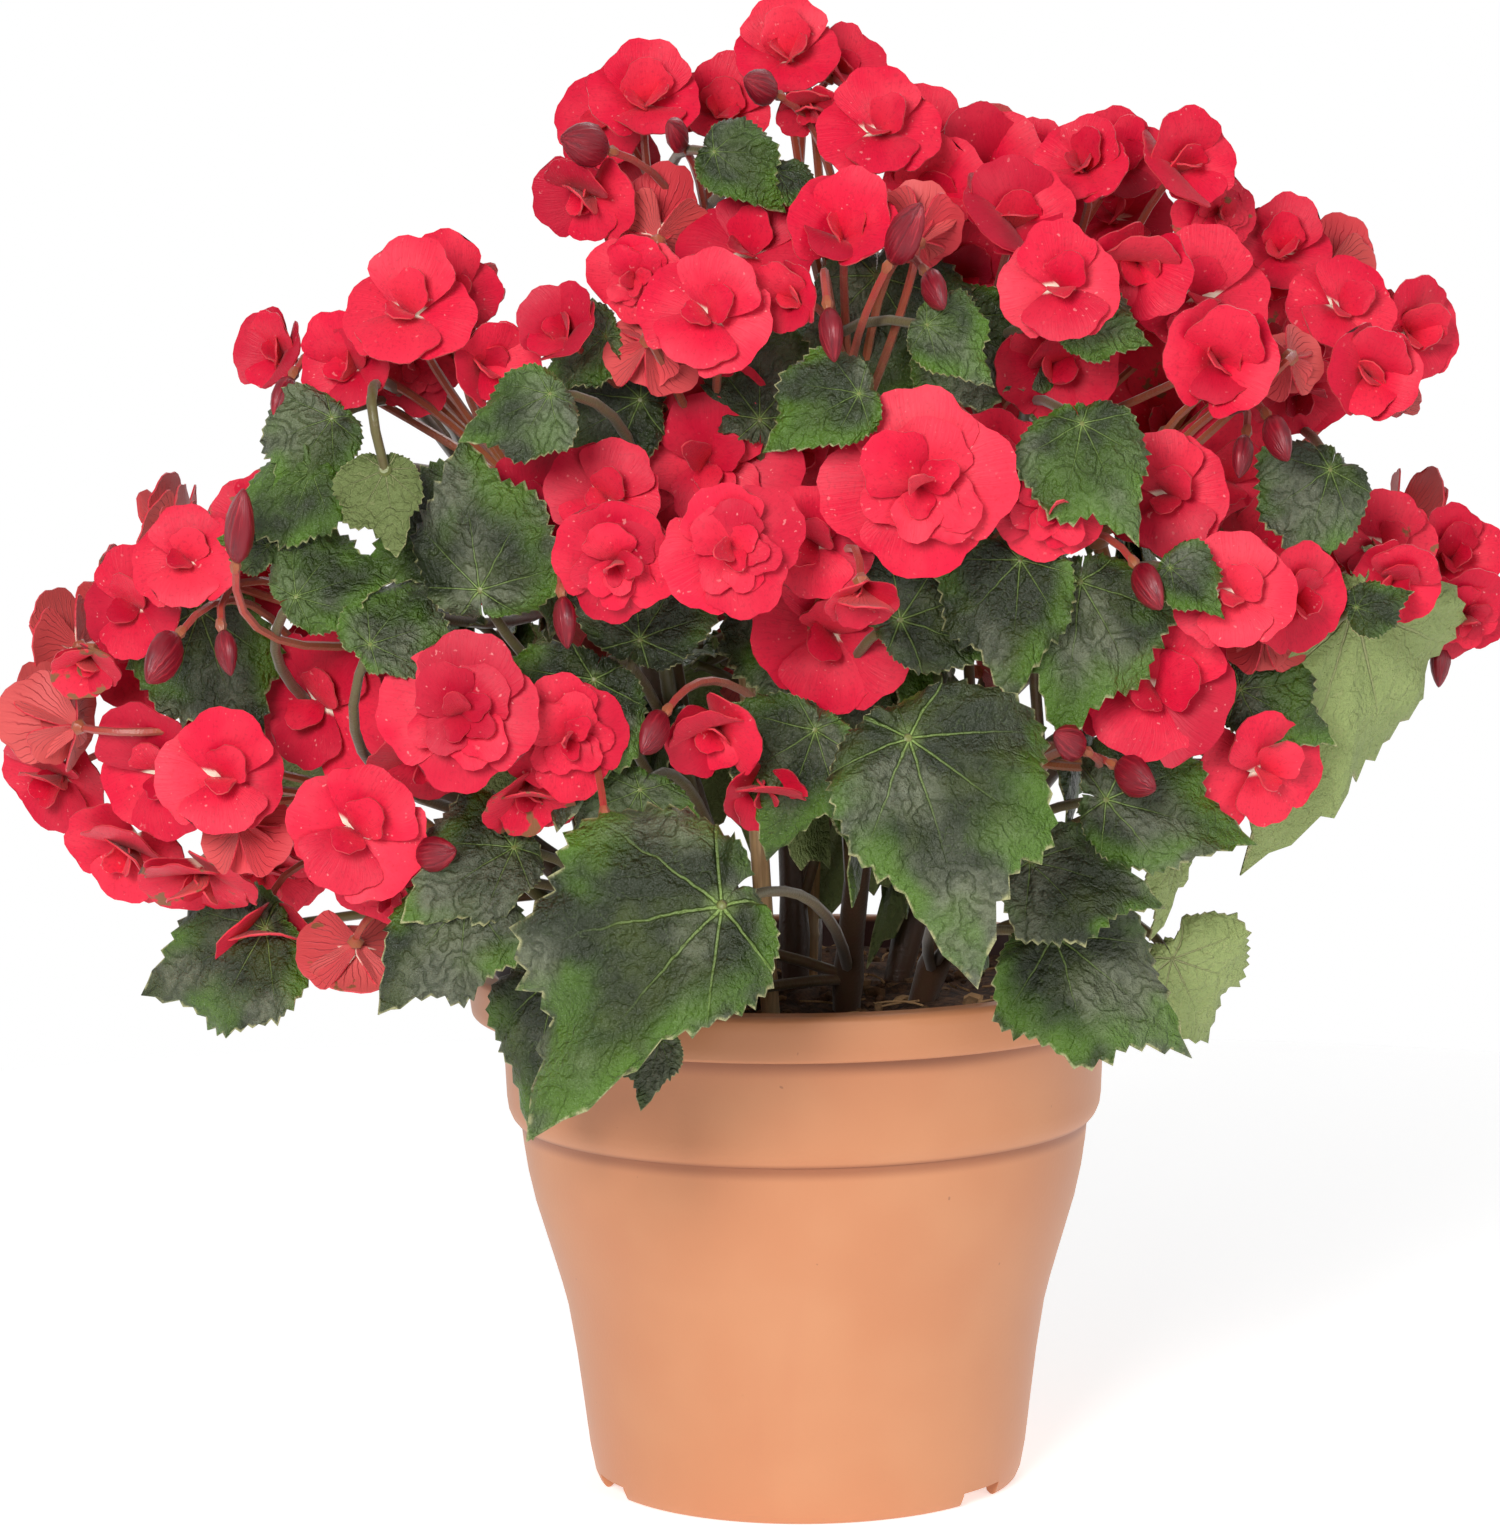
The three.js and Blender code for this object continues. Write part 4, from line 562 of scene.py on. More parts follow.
@dataclass(frozen=True)
class Dome:
    """The rounded shape that the blooms fill."""

    x: float = -14
    z: float = 268
    radius_x: float = 226
    radius_y: float = 168
    radius_z: float = 172

    def near(self, eye: Eye, column: float, row: float) -> float:
        """Gives the dome's depth towards the viewer at a place in the picture."""
        flat = eye.seen(column, row, 0)
        x = (flat.x - self.x) / self.radius_x
        z = (flat.z - self.z) / self.radius_z
        return self.radius_y * math.sqrt(max(0.04, 1 - x * x - z * z))

    def point(self, around: float, up: float, scale: float) -> Vector:
        """Gives a point inside the dome by its two angles and its share of the radius."""
        return Vector(
            (
                self.x + self.radius_x * scale * math.cos(up) * math.cos(around),
                self.radius_y * scale * math.cos(up) * math.sin(around),
                self.z + self.radius_z * scale * math.sin(up),
            )
        )

    def outwards(self, at: Vector) -> Vector:
        """Gives the direction that the dome's surface faces at a point, a little upwards."""
        x, y = (at.x - self.x) / self.radius_x, at.y / self.radius_y
        return Vector((x, y, (at.z - self.z) / self.radius_z + 0.25)).normalized()


class Draw:
    """Seeded random numbers, the same on every machine."""

    def __init__(self, seed: int) -> None:
        """Starts the row of numbers that belongs to a seed."""
        self.state = seed % 4294967296
        self(0, 1)

    def __call__(self, low: float, high: float) -> float:
        """Draws the next number between low and high."""
        self.state = (self.state * 1664525 + 1013904223) % 4294967296
        return low + (high - low) * self.state / 4294967296


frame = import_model()
POT_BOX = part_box("pot")
POT_AXIS = (
    (POT_BOX[0].x + POT_BOX[1].x) / 2 / MM,
    (POT_BOX[0].y + POT_BOX[1].y) / 2 / MM,
    0.0,
)
EYE = Eye()
DOME = Dome()
HEART = Vector((0, 0, 205))
SOIL_TOP = 139.5
STEP_BACK = 2.5
MOST_STEPS_BACK = 60
KNOT = 5.0
PEDUNCLE = 14.0
BACK_SEED = 41
BACK_SPRAYS = 5
BACK_BLOOMS = 5
BACK_LEAVES = 10
INNER_LEAVES = 8
UNDERSIDES = ((1352, 606), (1172, 958), (1178, 852))


def facing(x: float, z: float, side: int) -> Vector:
    """Gives the direction that a bloom or leaf looks.

    Args:
        x: its sideways share.
        z: its upward share.
        side: 1 towards the viewer, -1 away.

    Returns:
        The unit direction.
    """
    rest = max(0.0, 1 - x * x - z * z)
    return Vector((x, -side * math.sqrt(rest), z)).normalized()


@dataclass(frozen=True)
class Axes:
    """The plane of a bloom or leaf: u and v lie in it, and n looks out of its face."""

    u: Vector
    v: Vector
    n: Vector

    @classmethod
    def towards(cls, n: Vector, way: Vector) -> "Axes":
        """Builds the axes whose u lies as near as it can to a direction."""
        u = (way - n * way.dot(n)).normalized()
        return cls(u, n.cross(u), n)


@dataclass
class Bloom:
    """A bloom in its place, in mm from the pot's axis."""

    at: Vector
    face: Vector
    width: float
    kind: Kind
    behind: float = 0

    @property
    def small(self) -> bool:
        """Tells whether it is a bud or a folded flower."""
        return self.kind in (Kind.BUD, Kind.FOLDED)

    @property
    def neck(self) -> Vector:
        """Gives the point where its stalk meets it."""
        return self.at.copy() if self.small else self.at - self.face * (0.09 * self.width)


@dataclass
class Spray:
    """A spray in its place, with the fork that its flower stalks spring from."""

    name: str
    cane: int
    share: float
    blooms: list[Bloom]
    start: Vector = field(default_factory=Vector)
    fork: Vector = field(default_factory=Vector)
    way: Vector = field(default_factory=Vector)


@dataclass
class Leaf:
    """A leaf in its place, in mm from the pot's axis."""

    at: Vector
    n: Vector
    direction: Vector
    long: float
    cane: int
    share: float
    underside: bool = False
    seed: int = 0
    wide_left: bool = True


class CaneCurve:
    """A smooth route through the points of a cane."""

    def __init__(self, path: Sequence[Triple]) -> None:
        """Takes the points in order, foot first."""
        self.path = [Vector(p) for p in path]

    def at(self, share: float) -> Vector:
        """Gives the point at a share of the route between 0 and 1."""
        last = len(self.path) - 1
        place = min(max(share, 0.0), 1.0) * last
        k = min(int(place), last - 1)
        weight = place - k
        b, c = self.path[k], self.path[k + 1]
        a = self.path[k - 1] if k else b * 2 - c
        d = self.path[k + 2] if k + 2 <= last else c * 2 - b
        gaps = [max((q - p).length ** 0.5, 1e-4) for p, q in ((a, b), (b, c), (c, d))]
        first = ((b - a) / gaps[0] - (c - a) / (gaps[0] + gaps[1]) + (c - b) / gaps[1]) * gaps[1]
        second = ((c - b) / gaps[1] - (d - b) / (gaps[1] + gaps[2]) + (d - c) / gaps[2]) * gaps[1]
        t, t2, t3 = weight, weight**2, weight**3
        return (
            b * (2 * t3 - 3 * t2 + 1)
            + first * (t3 - 2 * t2 + t)
            + c * (-2 * t3 + 3 * t2)
            + second * (t3 - t2)
        )

    def above_soil(self, share: float) -> Vector:
        """Gives the point at a share of the route, or the first one well above the soil."""
        point = self.at(share)
        return point if point.z > SOIL_TOP + 8 else self.above_soil(share + 0.03)


class Layout:
    """Works out where every bloom, spray and leaf stands."""

    def __init__(self) -> None:
        """Settles the blooms, then the sprays and leaves."""
        self.curves = [CaneCurve(cane.path) for cane in CANES]
        self.sprays = self._seen_sprays() + self._back_sprays()
        self.leaves = self._seen_leaves() + self._hidden_leaves()
        taken = [0] * len(CANES)
        for spray in self.sprays:
            mean = sum((bloom.at for bloom in spray.blooms), Vector()) / len(spray.blooms)
            taken[spray.cane] += 1
            share = spray.share * 0.98 - 0.03 * taken[spray.cane]
            spray.fork = mean.lerp(HEART, 0.32)
            spray.start = self.curves[spray.cane].above_soil(share)
            reach = (spray.fork - spray.start).normalized()
            spray.way = reach.lerp(Vector((0, 0, 1)), 0.25).normalized()
        for k, leaf in enumerate(self.leaves):
            leaf.seed = 23 + 13 * k
            leaf.wide_left = k % 2 == 0
            leaf.share = leaf.share * 0.98 - 0.015 * (k % 3)

    def _seen_sprays(self) -> list[Spray]:
        """Steps each seen bloom back, the frontmost first, until it is clear of the others."""
        queue = [(s, row) for s, plan in enumerate(SPRAYS) for row in plan.blooms]
        placed: list[tuple[Vector, float]] = []
        found: dict[int, Bloom] = {}
        for _, row in sorted(queue, key=lambda item: item[1].behind):
            face = facing(row.face_x, row.face_z, row.side)
            small = row.kind in (Kind.BUD, Kind.FOLDED)
            ball = row.width * (0.3 if small else 0.42)
            near = DOME.near(EYE, row.column, row.row) - row.behind
            middle = EYE.seen(row.column, row.row, near)
            for _ in range(MOST_STEPS_BACK):
                if not any((other - middle).length < size + ball for other, size in placed):
                    break
                near -= STEP_BACK
                middle = EYE.seen(row.column, row.row, near)
            placed.append((middle, ball))
            at = middle if small else middle - face * (row.width * 0.2)
            found[id(row)] = Bloom(at, face, row.width, row.kind, row.behind)
        return [
            Spray(plan.name, plan.cane, plan.share, [found[id(row)] for row in plan.blooms])
            for plan in SPRAYS
        ]

    def _back_sprays(self) -> list[Spray]:
        """Fills the back of the dome, which the picture hides."""
        draw = Draw(BACK_SEED)
        sprays = []
        for s in range(BACK_SPRAYS):
            around = 0.32 + 2.5 * s / (BACK_SPRAYS - 1)
            up = 0.12 if s % 2 == 0 else 0.66
            blooms = []
            for b in range(BACK_BLOOMS):
                turn = b / BACK_BLOOMS * TURN + draw(-0.3, 0.3)
                spread = draw(0.15, 0.2)
                at = DOME.point(
                    around + spread * math.cos(turn),
                    up + spread * 1.15 * math.sin(turn),
                    draw(0.86, 0.96),
                )
                self._hide(at, 24)
                face = DOME.outwards(at)
                face.x += draw(-0.25, 0.25)
                face.z += draw(-0.2, 0.3)
                kind = Kind.OPEN if b % 2 == 0 else Kind.PLAIN
                blooms.append(Bloom(at, face.normalized(), draw(32, 40), kind))
            cane = self._nearest_cane(DOME.point(around, up, 0.8))
            sprays.append(Spray(f"spray_back_{s + 1}", cane, 0.9, blooms))
        return sprays

    def _seen_leaves(self) -> list[Leaf]:
        """Places the leaves that the picture shows."""
        leaves = []
        for c, cane in enumerate(CANES):
            for row in cane.leaves:
                near = DOME.near(EYE, row.column, row.row) - row.behind
                turn = math.radians(row.direction)
                leaves.append(
                    Leaf(
                        EYE.seen(row.column, row.row, near),
                        facing(row.face_x, row.face_z, row.side),
                        Vector((math.cos(turn), 0, math.sin(turn))),
                        row.long,
                        c,
                        row.share,
                        (row.column, row.row) in UNDERSIDES,
                    )
                )
        return leaves

    @staticmethod
    def _hide(at: Vector, near: float, reach: Vector = Vector()) -> None:
        """Steps a hidden thing in towards the heart until a seen bloom stands before it."""
        rows = [row for plan in SPRAYS for row in plan.blooms if row.width >= 28]
        for _ in range(24):
            px, py = EYE.shown(at + reach)
            if any(math.hypot(row.column - px, row.row - py) < near for row in rows):
                return
            at[:] = at.lerp(HEART, 0.05)

    @staticmethod
    def _nearest_cane(at: Vector) -> int:
        """Gives the cane whose tip stands nearest to a point, seen from above."""
        tips = [cane.path[3] for cane in CANES]
        gaps = [math.hypot(x - at.x, y - at.y) for x, y, _ in tips]
        return gaps.index(min(gaps))

    def _hidden_leaves(self) -> list[Leaf]:
        """Places the leaves round the back, low and high in turn, and those round the heart."""
        draw = Draw(BACK_SEED + 1)
        leaves = []

        def grow(
            around: float, up: float, scale: float, droop: float, long: float, share: float
        ) -> None:
            """Adds one leaf, by its place in the dome, droop, length and share of its cane."""
            at = DOME.point(around, up, scale)
            direction = Vector((math.cos(around), math.sin(around), droop))
            self._hide(at, 50, direction.normalized() * (long / 2))
            n = DOME.outwards(at)
            n.z += 0.5
            leaves.append(Leaf(at, n.normalized(), direction, long, self._nearest_cane(at), share))

        for k in range(BACK_LEAVES):
            around = 0.55 + 2.3 * k / (BACK_LEAVES - 1)
            if k % 2 == 0:
                grow(around, draw(-0.5, -0.34), 0.7, -0.9, draw(46, 60), 0.35)
            else:
                grow(around, draw(0.2, 0.45), 0.68, -0.3, draw(40, 56), 0.7)
        for k in range(INNER_LEAVES):
            around = TURN * (k + 0.5) / INNER_LEAVES + draw(-0.2, 0.2)
            up = draw(-0.25, -0.05) if k % 2 == 0 else draw(0.3, 0.6)
            grow(around, up, draw(0.42, 0.52), -0.5, draw(44, 58), 0.6)
        return leaves


# Materials


class Value:
    """A number that a shader works out, so that plain expressions add its Math nodes."""

    def __init__(self, paint: "Paint", socket: bpy.types.NodeSocket) -> None:
        """Wraps an output socket of a material's nodes."""
        self.paint = paint
        self.socket = socket

    def _math(self, operation: str, *others: "Value | float", first: bool = True) -> "Value":
        """Adds one Math node.

        Args:
            operation: the Math node's operation.
            others: its other inputs.
            first: whether this value is the first input or the second.

        Returns:
            The node's result.
        """
        inputs = [self, *others] if first else [*others, self]
        node = self.paint.node("ShaderNodeMath", {"operation": operation}, dict(enumerate(inputs)))
        return Value(self.paint, node.outputs[0])

    def __add__(self, other: "Value | float") -> "Value":
        """Adds."""
        return self._math("ADD", other)

    def __radd__(self, other: float) -> "Value":
        """Adds to a number."""
        return self._math("ADD", other)

    def __sub__(self, other: "Value | float") -> "Value":
        """Subtracts."""
        return self._math("SUBTRACT", other)

    def __rsub__(self, other: float) -> "Value":
        """Subtracts from a number."""
        return self._math("SUBTRACT", other, first=False)

    def __mul__(self, other: "Value | float") -> "Value":
        """Multiplies."""
        return self._math("MULTIPLY", other)

    def __rmul__(self, other: float) -> "Value":
        """Multiplies a number."""
        return self._math("MULTIPLY", other)

    def __truediv__(self, other: "Value | float") -> "Value":
        """Divides."""
        return self._math("DIVIDE", other)

    def __pow__(self, other: "Value | float") -> "Value":
        """Raises to a power."""
        return self._math("POWER", other)

    def abs(self) -> "Value":
        """Drops the sign."""
        return self._math("ABSOLUTE")

    def sin(self) -> "Value":
        """Takes the sine of radians."""
        return self._math("SINE")

    def below(self, other: "Value | float") -> "Value":
        """Gives 1 where this is less than the other, and 0 elsewhere."""
        return self._math("LESS_THAN", other)

    def smooth(self, low: float, high: float) -> "Value":
        """Rises smoothly from 0 at low to 1 at high, or falls where low is the larger."""
        down = low > high
        a, b = (high, low) if down else (low, high)
        settings = {"interpolation_type": "SMOOTHSTEP"}
        node = self.paint.node("ShaderNodeMapRange", settings, {0: self, 1: a, 2: b})
        result = Value(self.paint, node.outputs[0])
        return 1 - result if down else result


class Paint:
    """One material, built up from nodes."""

    def __init__(self, name: str, roughness: float, **sockets: float | tuple) -> None:
        """Starts the material.

        Args:
            name: its name.
            roughness: the roughness of its finish.
            sockets: other sockets of the main shader, by name with underscores for spaces.
        """
        self.material = bpy.data.materials.new(name)
        self.material.use_nodes = True
        self.tree = self.material.node_tree
        self.shader = self.tree.nodes["Principled BSDF"]
        self.shader.inputs["Roughness"].default_value = roughness
        for key, value in sockets.items():
            self.shader.inputs[key.replace("_", " ")].default_value = value

    def node(self, kind: str, settings: dict, inputs: dict) -> bpy.types.Node:
        """Adds a node.

        Args:
            kind: the node's type.
            settings: its settings by name, such as a Math node's operation.
            inputs: values or links of its sockets, by name or number.

        Returns:
            The node.
        """
        made = self.tree.nodes.new(kind)
        for key, value in settings.items():
            setattr(made, key, value)
        for key, value in inputs.items():
            self.feed(made.inputs[key], value)
        return made

    def feed(self, socket: bpy.types.NodeSocket, value: object) -> None:
        """Links a socket to a value or another socket, or sets it to a constant."""
        if isinstance(value, Value):
            self.tree.links.new(value.socket, socket)
        elif isinstance(value, bpy.types.NodeSocket):
            self.tree.links.new(value, socket)
        else:
            socket.default_value = value

    def parts(self, vector: bpy.types.NodeSocket) -> tuple[Value, Value, Value]:
        """Splits a vector or colour into its three numbers."""
        split = self.node("ShaderNodeSeparateXYZ", {}, {0: vector})
        x, y, z = (Value(self, split.outputs[k]) for k in range(3))
        return x, y, z

    def uv(self) -> tuple[Value, Value]:
        """Gives the two coordinates of the piece's own map."""
        made = self.node("ShaderNodeUVMap", {"uv_map": "grain"}, {})
        x, y, _ = self.parts(made.outputs[0])
        return x, y

    def tint(self) -> tuple[Value, Value, Value]:
        """Gives the three painted shares of the piece: tone, back and age."""
        made = self.node("ShaderNodeAttribute", {"attribute_name": "tint"}, {})
        return self.parts(made.outputs["Color"])

    def spot(self) -> bpy.types.NodeSocket:
        """Gives the place on the piece, in metres."""
        return self.node("ShaderNodeTexCoord", {}, {}).outputs["Object"]

    def noise(self, size: float, detail: float = 2, at: object = None, rough: float = 0.5) -> Value:
        """Gives a cloudy pattern between 0 and 1.

        Args:
            size: the size of its patches in millimetres, or its scale where a place is given.
            detail: how many finer layers it has.
            at: the vector that it is read at, or None for the place on the piece.
            rough: how strong the finer layers are.

        Returns:
            The pattern.
        """
        scale = size if at is not None else 1 / (size * MM)
        where = at if at is not None else self.spot()
        inputs = {"Vector": where, "Scale": scale, "Detail": detail, "Roughness": rough}
        made = self.node("ShaderNodeTexNoise", {}, inputs)
        return Value(self, made.outputs[0])

    def vector(self, x: "Value | float", y: "Value | float", z: "Value | float" = 0.0) -> object:
        """Joins three numbers into a vector."""
        return self.node("ShaderNodeCombineXYZ", {}, {0: x, 1: y, 2: z}).outputs[0]

    def mix(self, share: Value, low: object, high: object) -> bpy.types.NodeSocket:
        """Mixes two colours, each a socket or a hex colour."""
        made = self.tree.nodes.new("ShaderNodeMix")
        made.data_type = "RGBA"
        self.feed(made.inputs[0], share)
        self.feed(made.inputs[6], colour(low) if isinstance(low, str) else low)
        self.feed(made.inputs[7], colour(high) if isinstance(high, str) else high)
        return made.outputs[2]

    def finish(self, base: object, bump: Value | None = None, depth: float = 0.0) -> None:
        """Feeds the main shader.

        Args:
            base: the base colour, a socket or a hex colour.
            bump: the height of the surface between 0 and 1, if it has relief.
            depth: the relief's depth in millimetres.
        """
        self.feed(self.shader.inputs["Base Color"], colour(base) if isinstance(base, str) else base)
        if bump is not None:
            inputs = {"Strength": 1.0, "Distance": depth * MM, "Height": bump}
            made = self.node("ShaderNodeBump", {}, inputs)
            self.feed(self.shader.inputs["Normal"], made.outputs[0])


def colour(code: str) -> tuple[float, float, float, float]:
    """Turns a hex colour as seen on a screen into the shader's own numbers."""
    shares = [int(code[k : k + 2], 16) / 255 for k in (0, 2, 4)]
    linear = [c / 12.92 if c <= 0.04045 else ((c + 0.055) / 1.055) ** 2.4 for c in shares]
    return (*linear, 1.0)


@dataclass(frozen=True)
class PetalFinish:
    """Coral-red petals with fine veins, pale flecks, a cream heart and paler, veined backs."""

    face: str = "DC1038"
    deep: str = "960826"
    glow: str = "EC3A4E"
    back: str = "DA5C5A"
    back_vein: str = "8A1422"
    cream: str = "F8E9D2"
    fleck: str = "F2A8A4"
    dead: str = "8A5A3C"

    def material(self) -> bpy.types.Material:
        """Builds the material from the petal's own map and tint; an age over 1 shows the heart."""
        paint = Paint("petal", 0.48, Specular_IOR_Level=0.22, Sheen_Weight=0.1, Sheen_Roughness=0.4)
        across, along = paint.uv()
        tone, back, mark = paint.tint()
        hearty = mark.smooth(1.4, 1.6)
        aged = mark - hearty * 2
        fan = (across - 0.5) / (0.45 + along * 0.75)
        streak = paint.noise(1.0, 3, paint.vector(fan * 46 + tone * 31, along * 2.2), 0.6)
        wander = paint.noise(5, 2) - 0.5
        line = ((fan * 34 + wander * 5).sin().abs()).smooth(0.3, 0.0)
        vein = line * along.smooth(1.0, 0.6) * along.smooth(0.02, 0.2)
        cloud = paint.noise(10, 2)
        face = paint.mix(cloud.smooth(0.35, 0.75) * 0.5, self.face, self.glow)
        face = paint.mix(streak.smooth(0.45, 0.8) * 0.22, face, self.deep)
        face = paint.mix(tone.smooth(0.6, 0.0) * 0.55, face, self.deep)
        face = paint.mix(tone.smooth(0.6, 1.0) * 0.5, face, self.glow)
        face = paint.mix(along.smooth(0.3, 0.05) * 0.4, face, self.deep)
        fleck = paint.noise(1.3, 1).smooth(0.7, 0.75) * paint.noise(9, 1).smooth(0.42, 0.6)
        face = paint.mix(paint.noise(0.9, 2).smooth(0.5, 0.75) * 0.3, face, self.deep)
        face = paint.mix(fleck * 0.4, face, self.fleck)
        pale = paint.mix(vein * 0.55 + streak * 0.3, self.back, self.back_vein)
        pale = paint.mix(tone.smooth(0.7, 0.1) * 0.5, pale, self.face)
        skin = paint.mix(back, face, pale)
        star = (along + streak * 0.08).smooth(0.17, 0.1) * hearty
        skin = paint.mix(star * (1 - back), skin, self.cream)
        scar = (paint.noise(5, 3) + along * 0.14).smooth(0.7, 0.76) * aged
        skin = paint.mix(scar, skin, self.dead)
        paint.finish(skin, streak * 0.4 + cloud * 0.4 + vein * back * 0.4, 0.4)
        return paint.material


@dataclass(frozen=True)
class BudFinish:
    """Dark closed buds and the small bracts: red, olive or dry and pale, by their tint."""

    red: str = "78081C"
    fold: str = "380410"
    ridge: str = "B82A38"
    olive: str = "6E4A1E"
    dry: str = "D9B48E"

    def material(self) -> bpy.types.Material:
        """Builds the material from the bud's own map and tint."""
        paint = Paint("bud", 0.4, Specular_IOR_Level=0.4)
        across, along = paint.uv()
        tone, bract, age = paint.tint()
        speck = paint.noise(1.0, 3, paint.vector(across * 6 + tone * 20, along * 1.8))
        red = paint.mix(speck.smooth(0.5, 0.75) * 0.7, self.red, self.ridge)
        red = paint.mix(speck.smooth(0.45, 0.3) * 0.6, red, self.fold)
        leafy = paint.mix(age, self.olive, self.dry)
        leafy = paint.mix(speck * 0.3 + tone * 0.3, leafy, self.red)
        paint.finish(paint.mix(bract, red, leafy), speck, 0.6)
        return paint.material


@dataclass(frozen=True)
class StalkFinish:
    """Juicy stalks, red under the blooms and green-orange at the forks, with a fine fuzz."""

    red: str = "A62A2A"
    green: str = "8C7038"
    brown: str = "8A5038"

    def material(self) -> bpy.types.Material:
        """Builds the material; the tint's tone runs from red to green, its age to brown."""
        paint = Paint("stalk", 0.38, Specular_IOR_Level=0.4, Sheen_Weight=0.2)
        tone, _, age = paint.tint()
        speck = paint.noise(2.2, 3)
        skin = paint.mix(tone * 0.75 + (speck - 0.5) * 0.5, self.red, self.green)
        skin = paint.mix(age * (0.75 + speck * 0.4), skin, self.brown)
        paint.finish(skin, paint.noise(0.9, 2), 0.15)
        return paint.material


@dataclass(frozen=True)
class LeafFinish:
    """Dark crinkled leaves with a soft gloss, a painted grey sheen in broad patches, few pale veins and
    a bright, uneven edge.
    """

    top: str = "161F0B"
    light: str = "3A4619"
    # Colour of the painted sheen.
    grey: str = "858A72"
    bright: str = "527818"
    young: str = "4A6E1E"
    vein: str = "8AA458"
    under: str = "7E9052"
    under_light: str = "A8B674"
    fringe: str = "A9A878"
    rays: tuple[float, ...] = (0, 36, -38, 78, -84, 132, -132)

    def veins(self, paint: Paint, x: Value, y: Value) -> tuple[Value, Value, Value]:
        """Finds the nearest main vein.

        Args:
            paint: the material.
            x: the place in the leaf towards its tip, as a share of its length.
            y: the place across the leaf.

        Returns:
            The distance from that vein, the place along it, and the side veins' pattern.
        """
        nearest, place = None, None
        for angle in self.rays:
            cos, sin = math.cos(math.radians(angle)), math.sin(math.radians(angle))
            along = x * cos + y * sin
            off = (y * cos - x * sin).abs() + along.below(0.0) * 9
            if nearest is None:
                nearest, place = off, along
                continue
            closer = off.below(nearest)
            place = closer * along + (1 - closer) * place
            nearest = closer * off + (1 - closer) * nearest
        side = ((place - nearest * 1.25) * 17 + paint.noise(8, 3) * 14).sin().abs()
        return nearest, place, side

    def material(self) -> bpy.types.Material:
        """Builds the material from the leaf's own map and tint."""
        paint = Paint("leaf", 0.36, Specular_IOR_Level=0.4)
        u, v = paint.uv()
        x, y = u * 2.4 - 1.2, v * 2.4 - 1.2
        tone, under, edge = paint.tint()
        wander = paint.noise(7, 2) - 0.5
        off, place, side = self.veins(paint, x + wander * 0.03, y + wander * 0.03)
        reach = (x * x + y * y) ** 0.5
        main = (off / (1.2 - reach)).smooth(0.009, 0.003) * reach.smooth(0.65, 0.1)
        fine = side.smooth(0.16, 0.02) * (1 - edge * 0.5)
        cloud = paint.noise(14, 3)
        net = paint.noise(3.2, 4, rough=0.65)
        top = paint.mix(cloud.smooth(0.4, 0.7) * 0.75 + tone * 0.2, self.top, self.light)
        # Painted sheen: grey patches, stronger on the ridges between the side veins, stand in for the
        # soft reflection of the lamps on the gloss.
        sheen_patch = paint.noise(34, 2).smooth(0.44, 0.6)
        ridge = side.smooth(0.35, 0.95) * net.smooth(0.3, 0.6)
        top = paint.mix(sheen_patch * (0.26 + ridge * 0.24), top, self.grey)
        young = tone.smooth(0.62, 1.0) * cloud.smooth(0.35, 0.65)
        top = paint.mix(young * 0.42, top, self.young)
        top = paint.mix(side.smooth(0.3, 0.0) * 0.45, top, self.top)
        bright = edge.smooth(0.45, 1.0) * paint.noise(24, 2).smooth(0.42, 0.6)
        top = paint.mix(bright * 0.75, top, self.bright)
        top = paint.mix(fine * 0.12, top, self.vein)
        top = paint.mix(main * 0.55 + reach.smooth(0.09, 0.02) * 0.4, top, self.vein)
        below = paint.mix(cloud * 0.6 + net * 0.3, self.under, self.under_light)
        below = paint.mix(tone * 0.75, below, self.light)
        below = paint.mix((main + fine * 0.5) * 0.7, below, self.fringe)
        skin = paint.mix(under, top, below)
        skin = paint.mix(edge.smooth(0.97, 1.0) * paint.noise(3, 2).smooth(0.4, 0.6), skin, self.fringe)
        quilt = side.smooth(0.0, 0.7) * cloud
        height = net * 0.9 + cloud * 0.5 + quilt * 0.22 - main * 0.35
        paint.finish(skin, height, 3.0)
        gloss = 0.3 + net * 0.16 + under * 0.3
        paint.feed(paint.shader.inputs["Roughness"], gloss)
        return paint.material


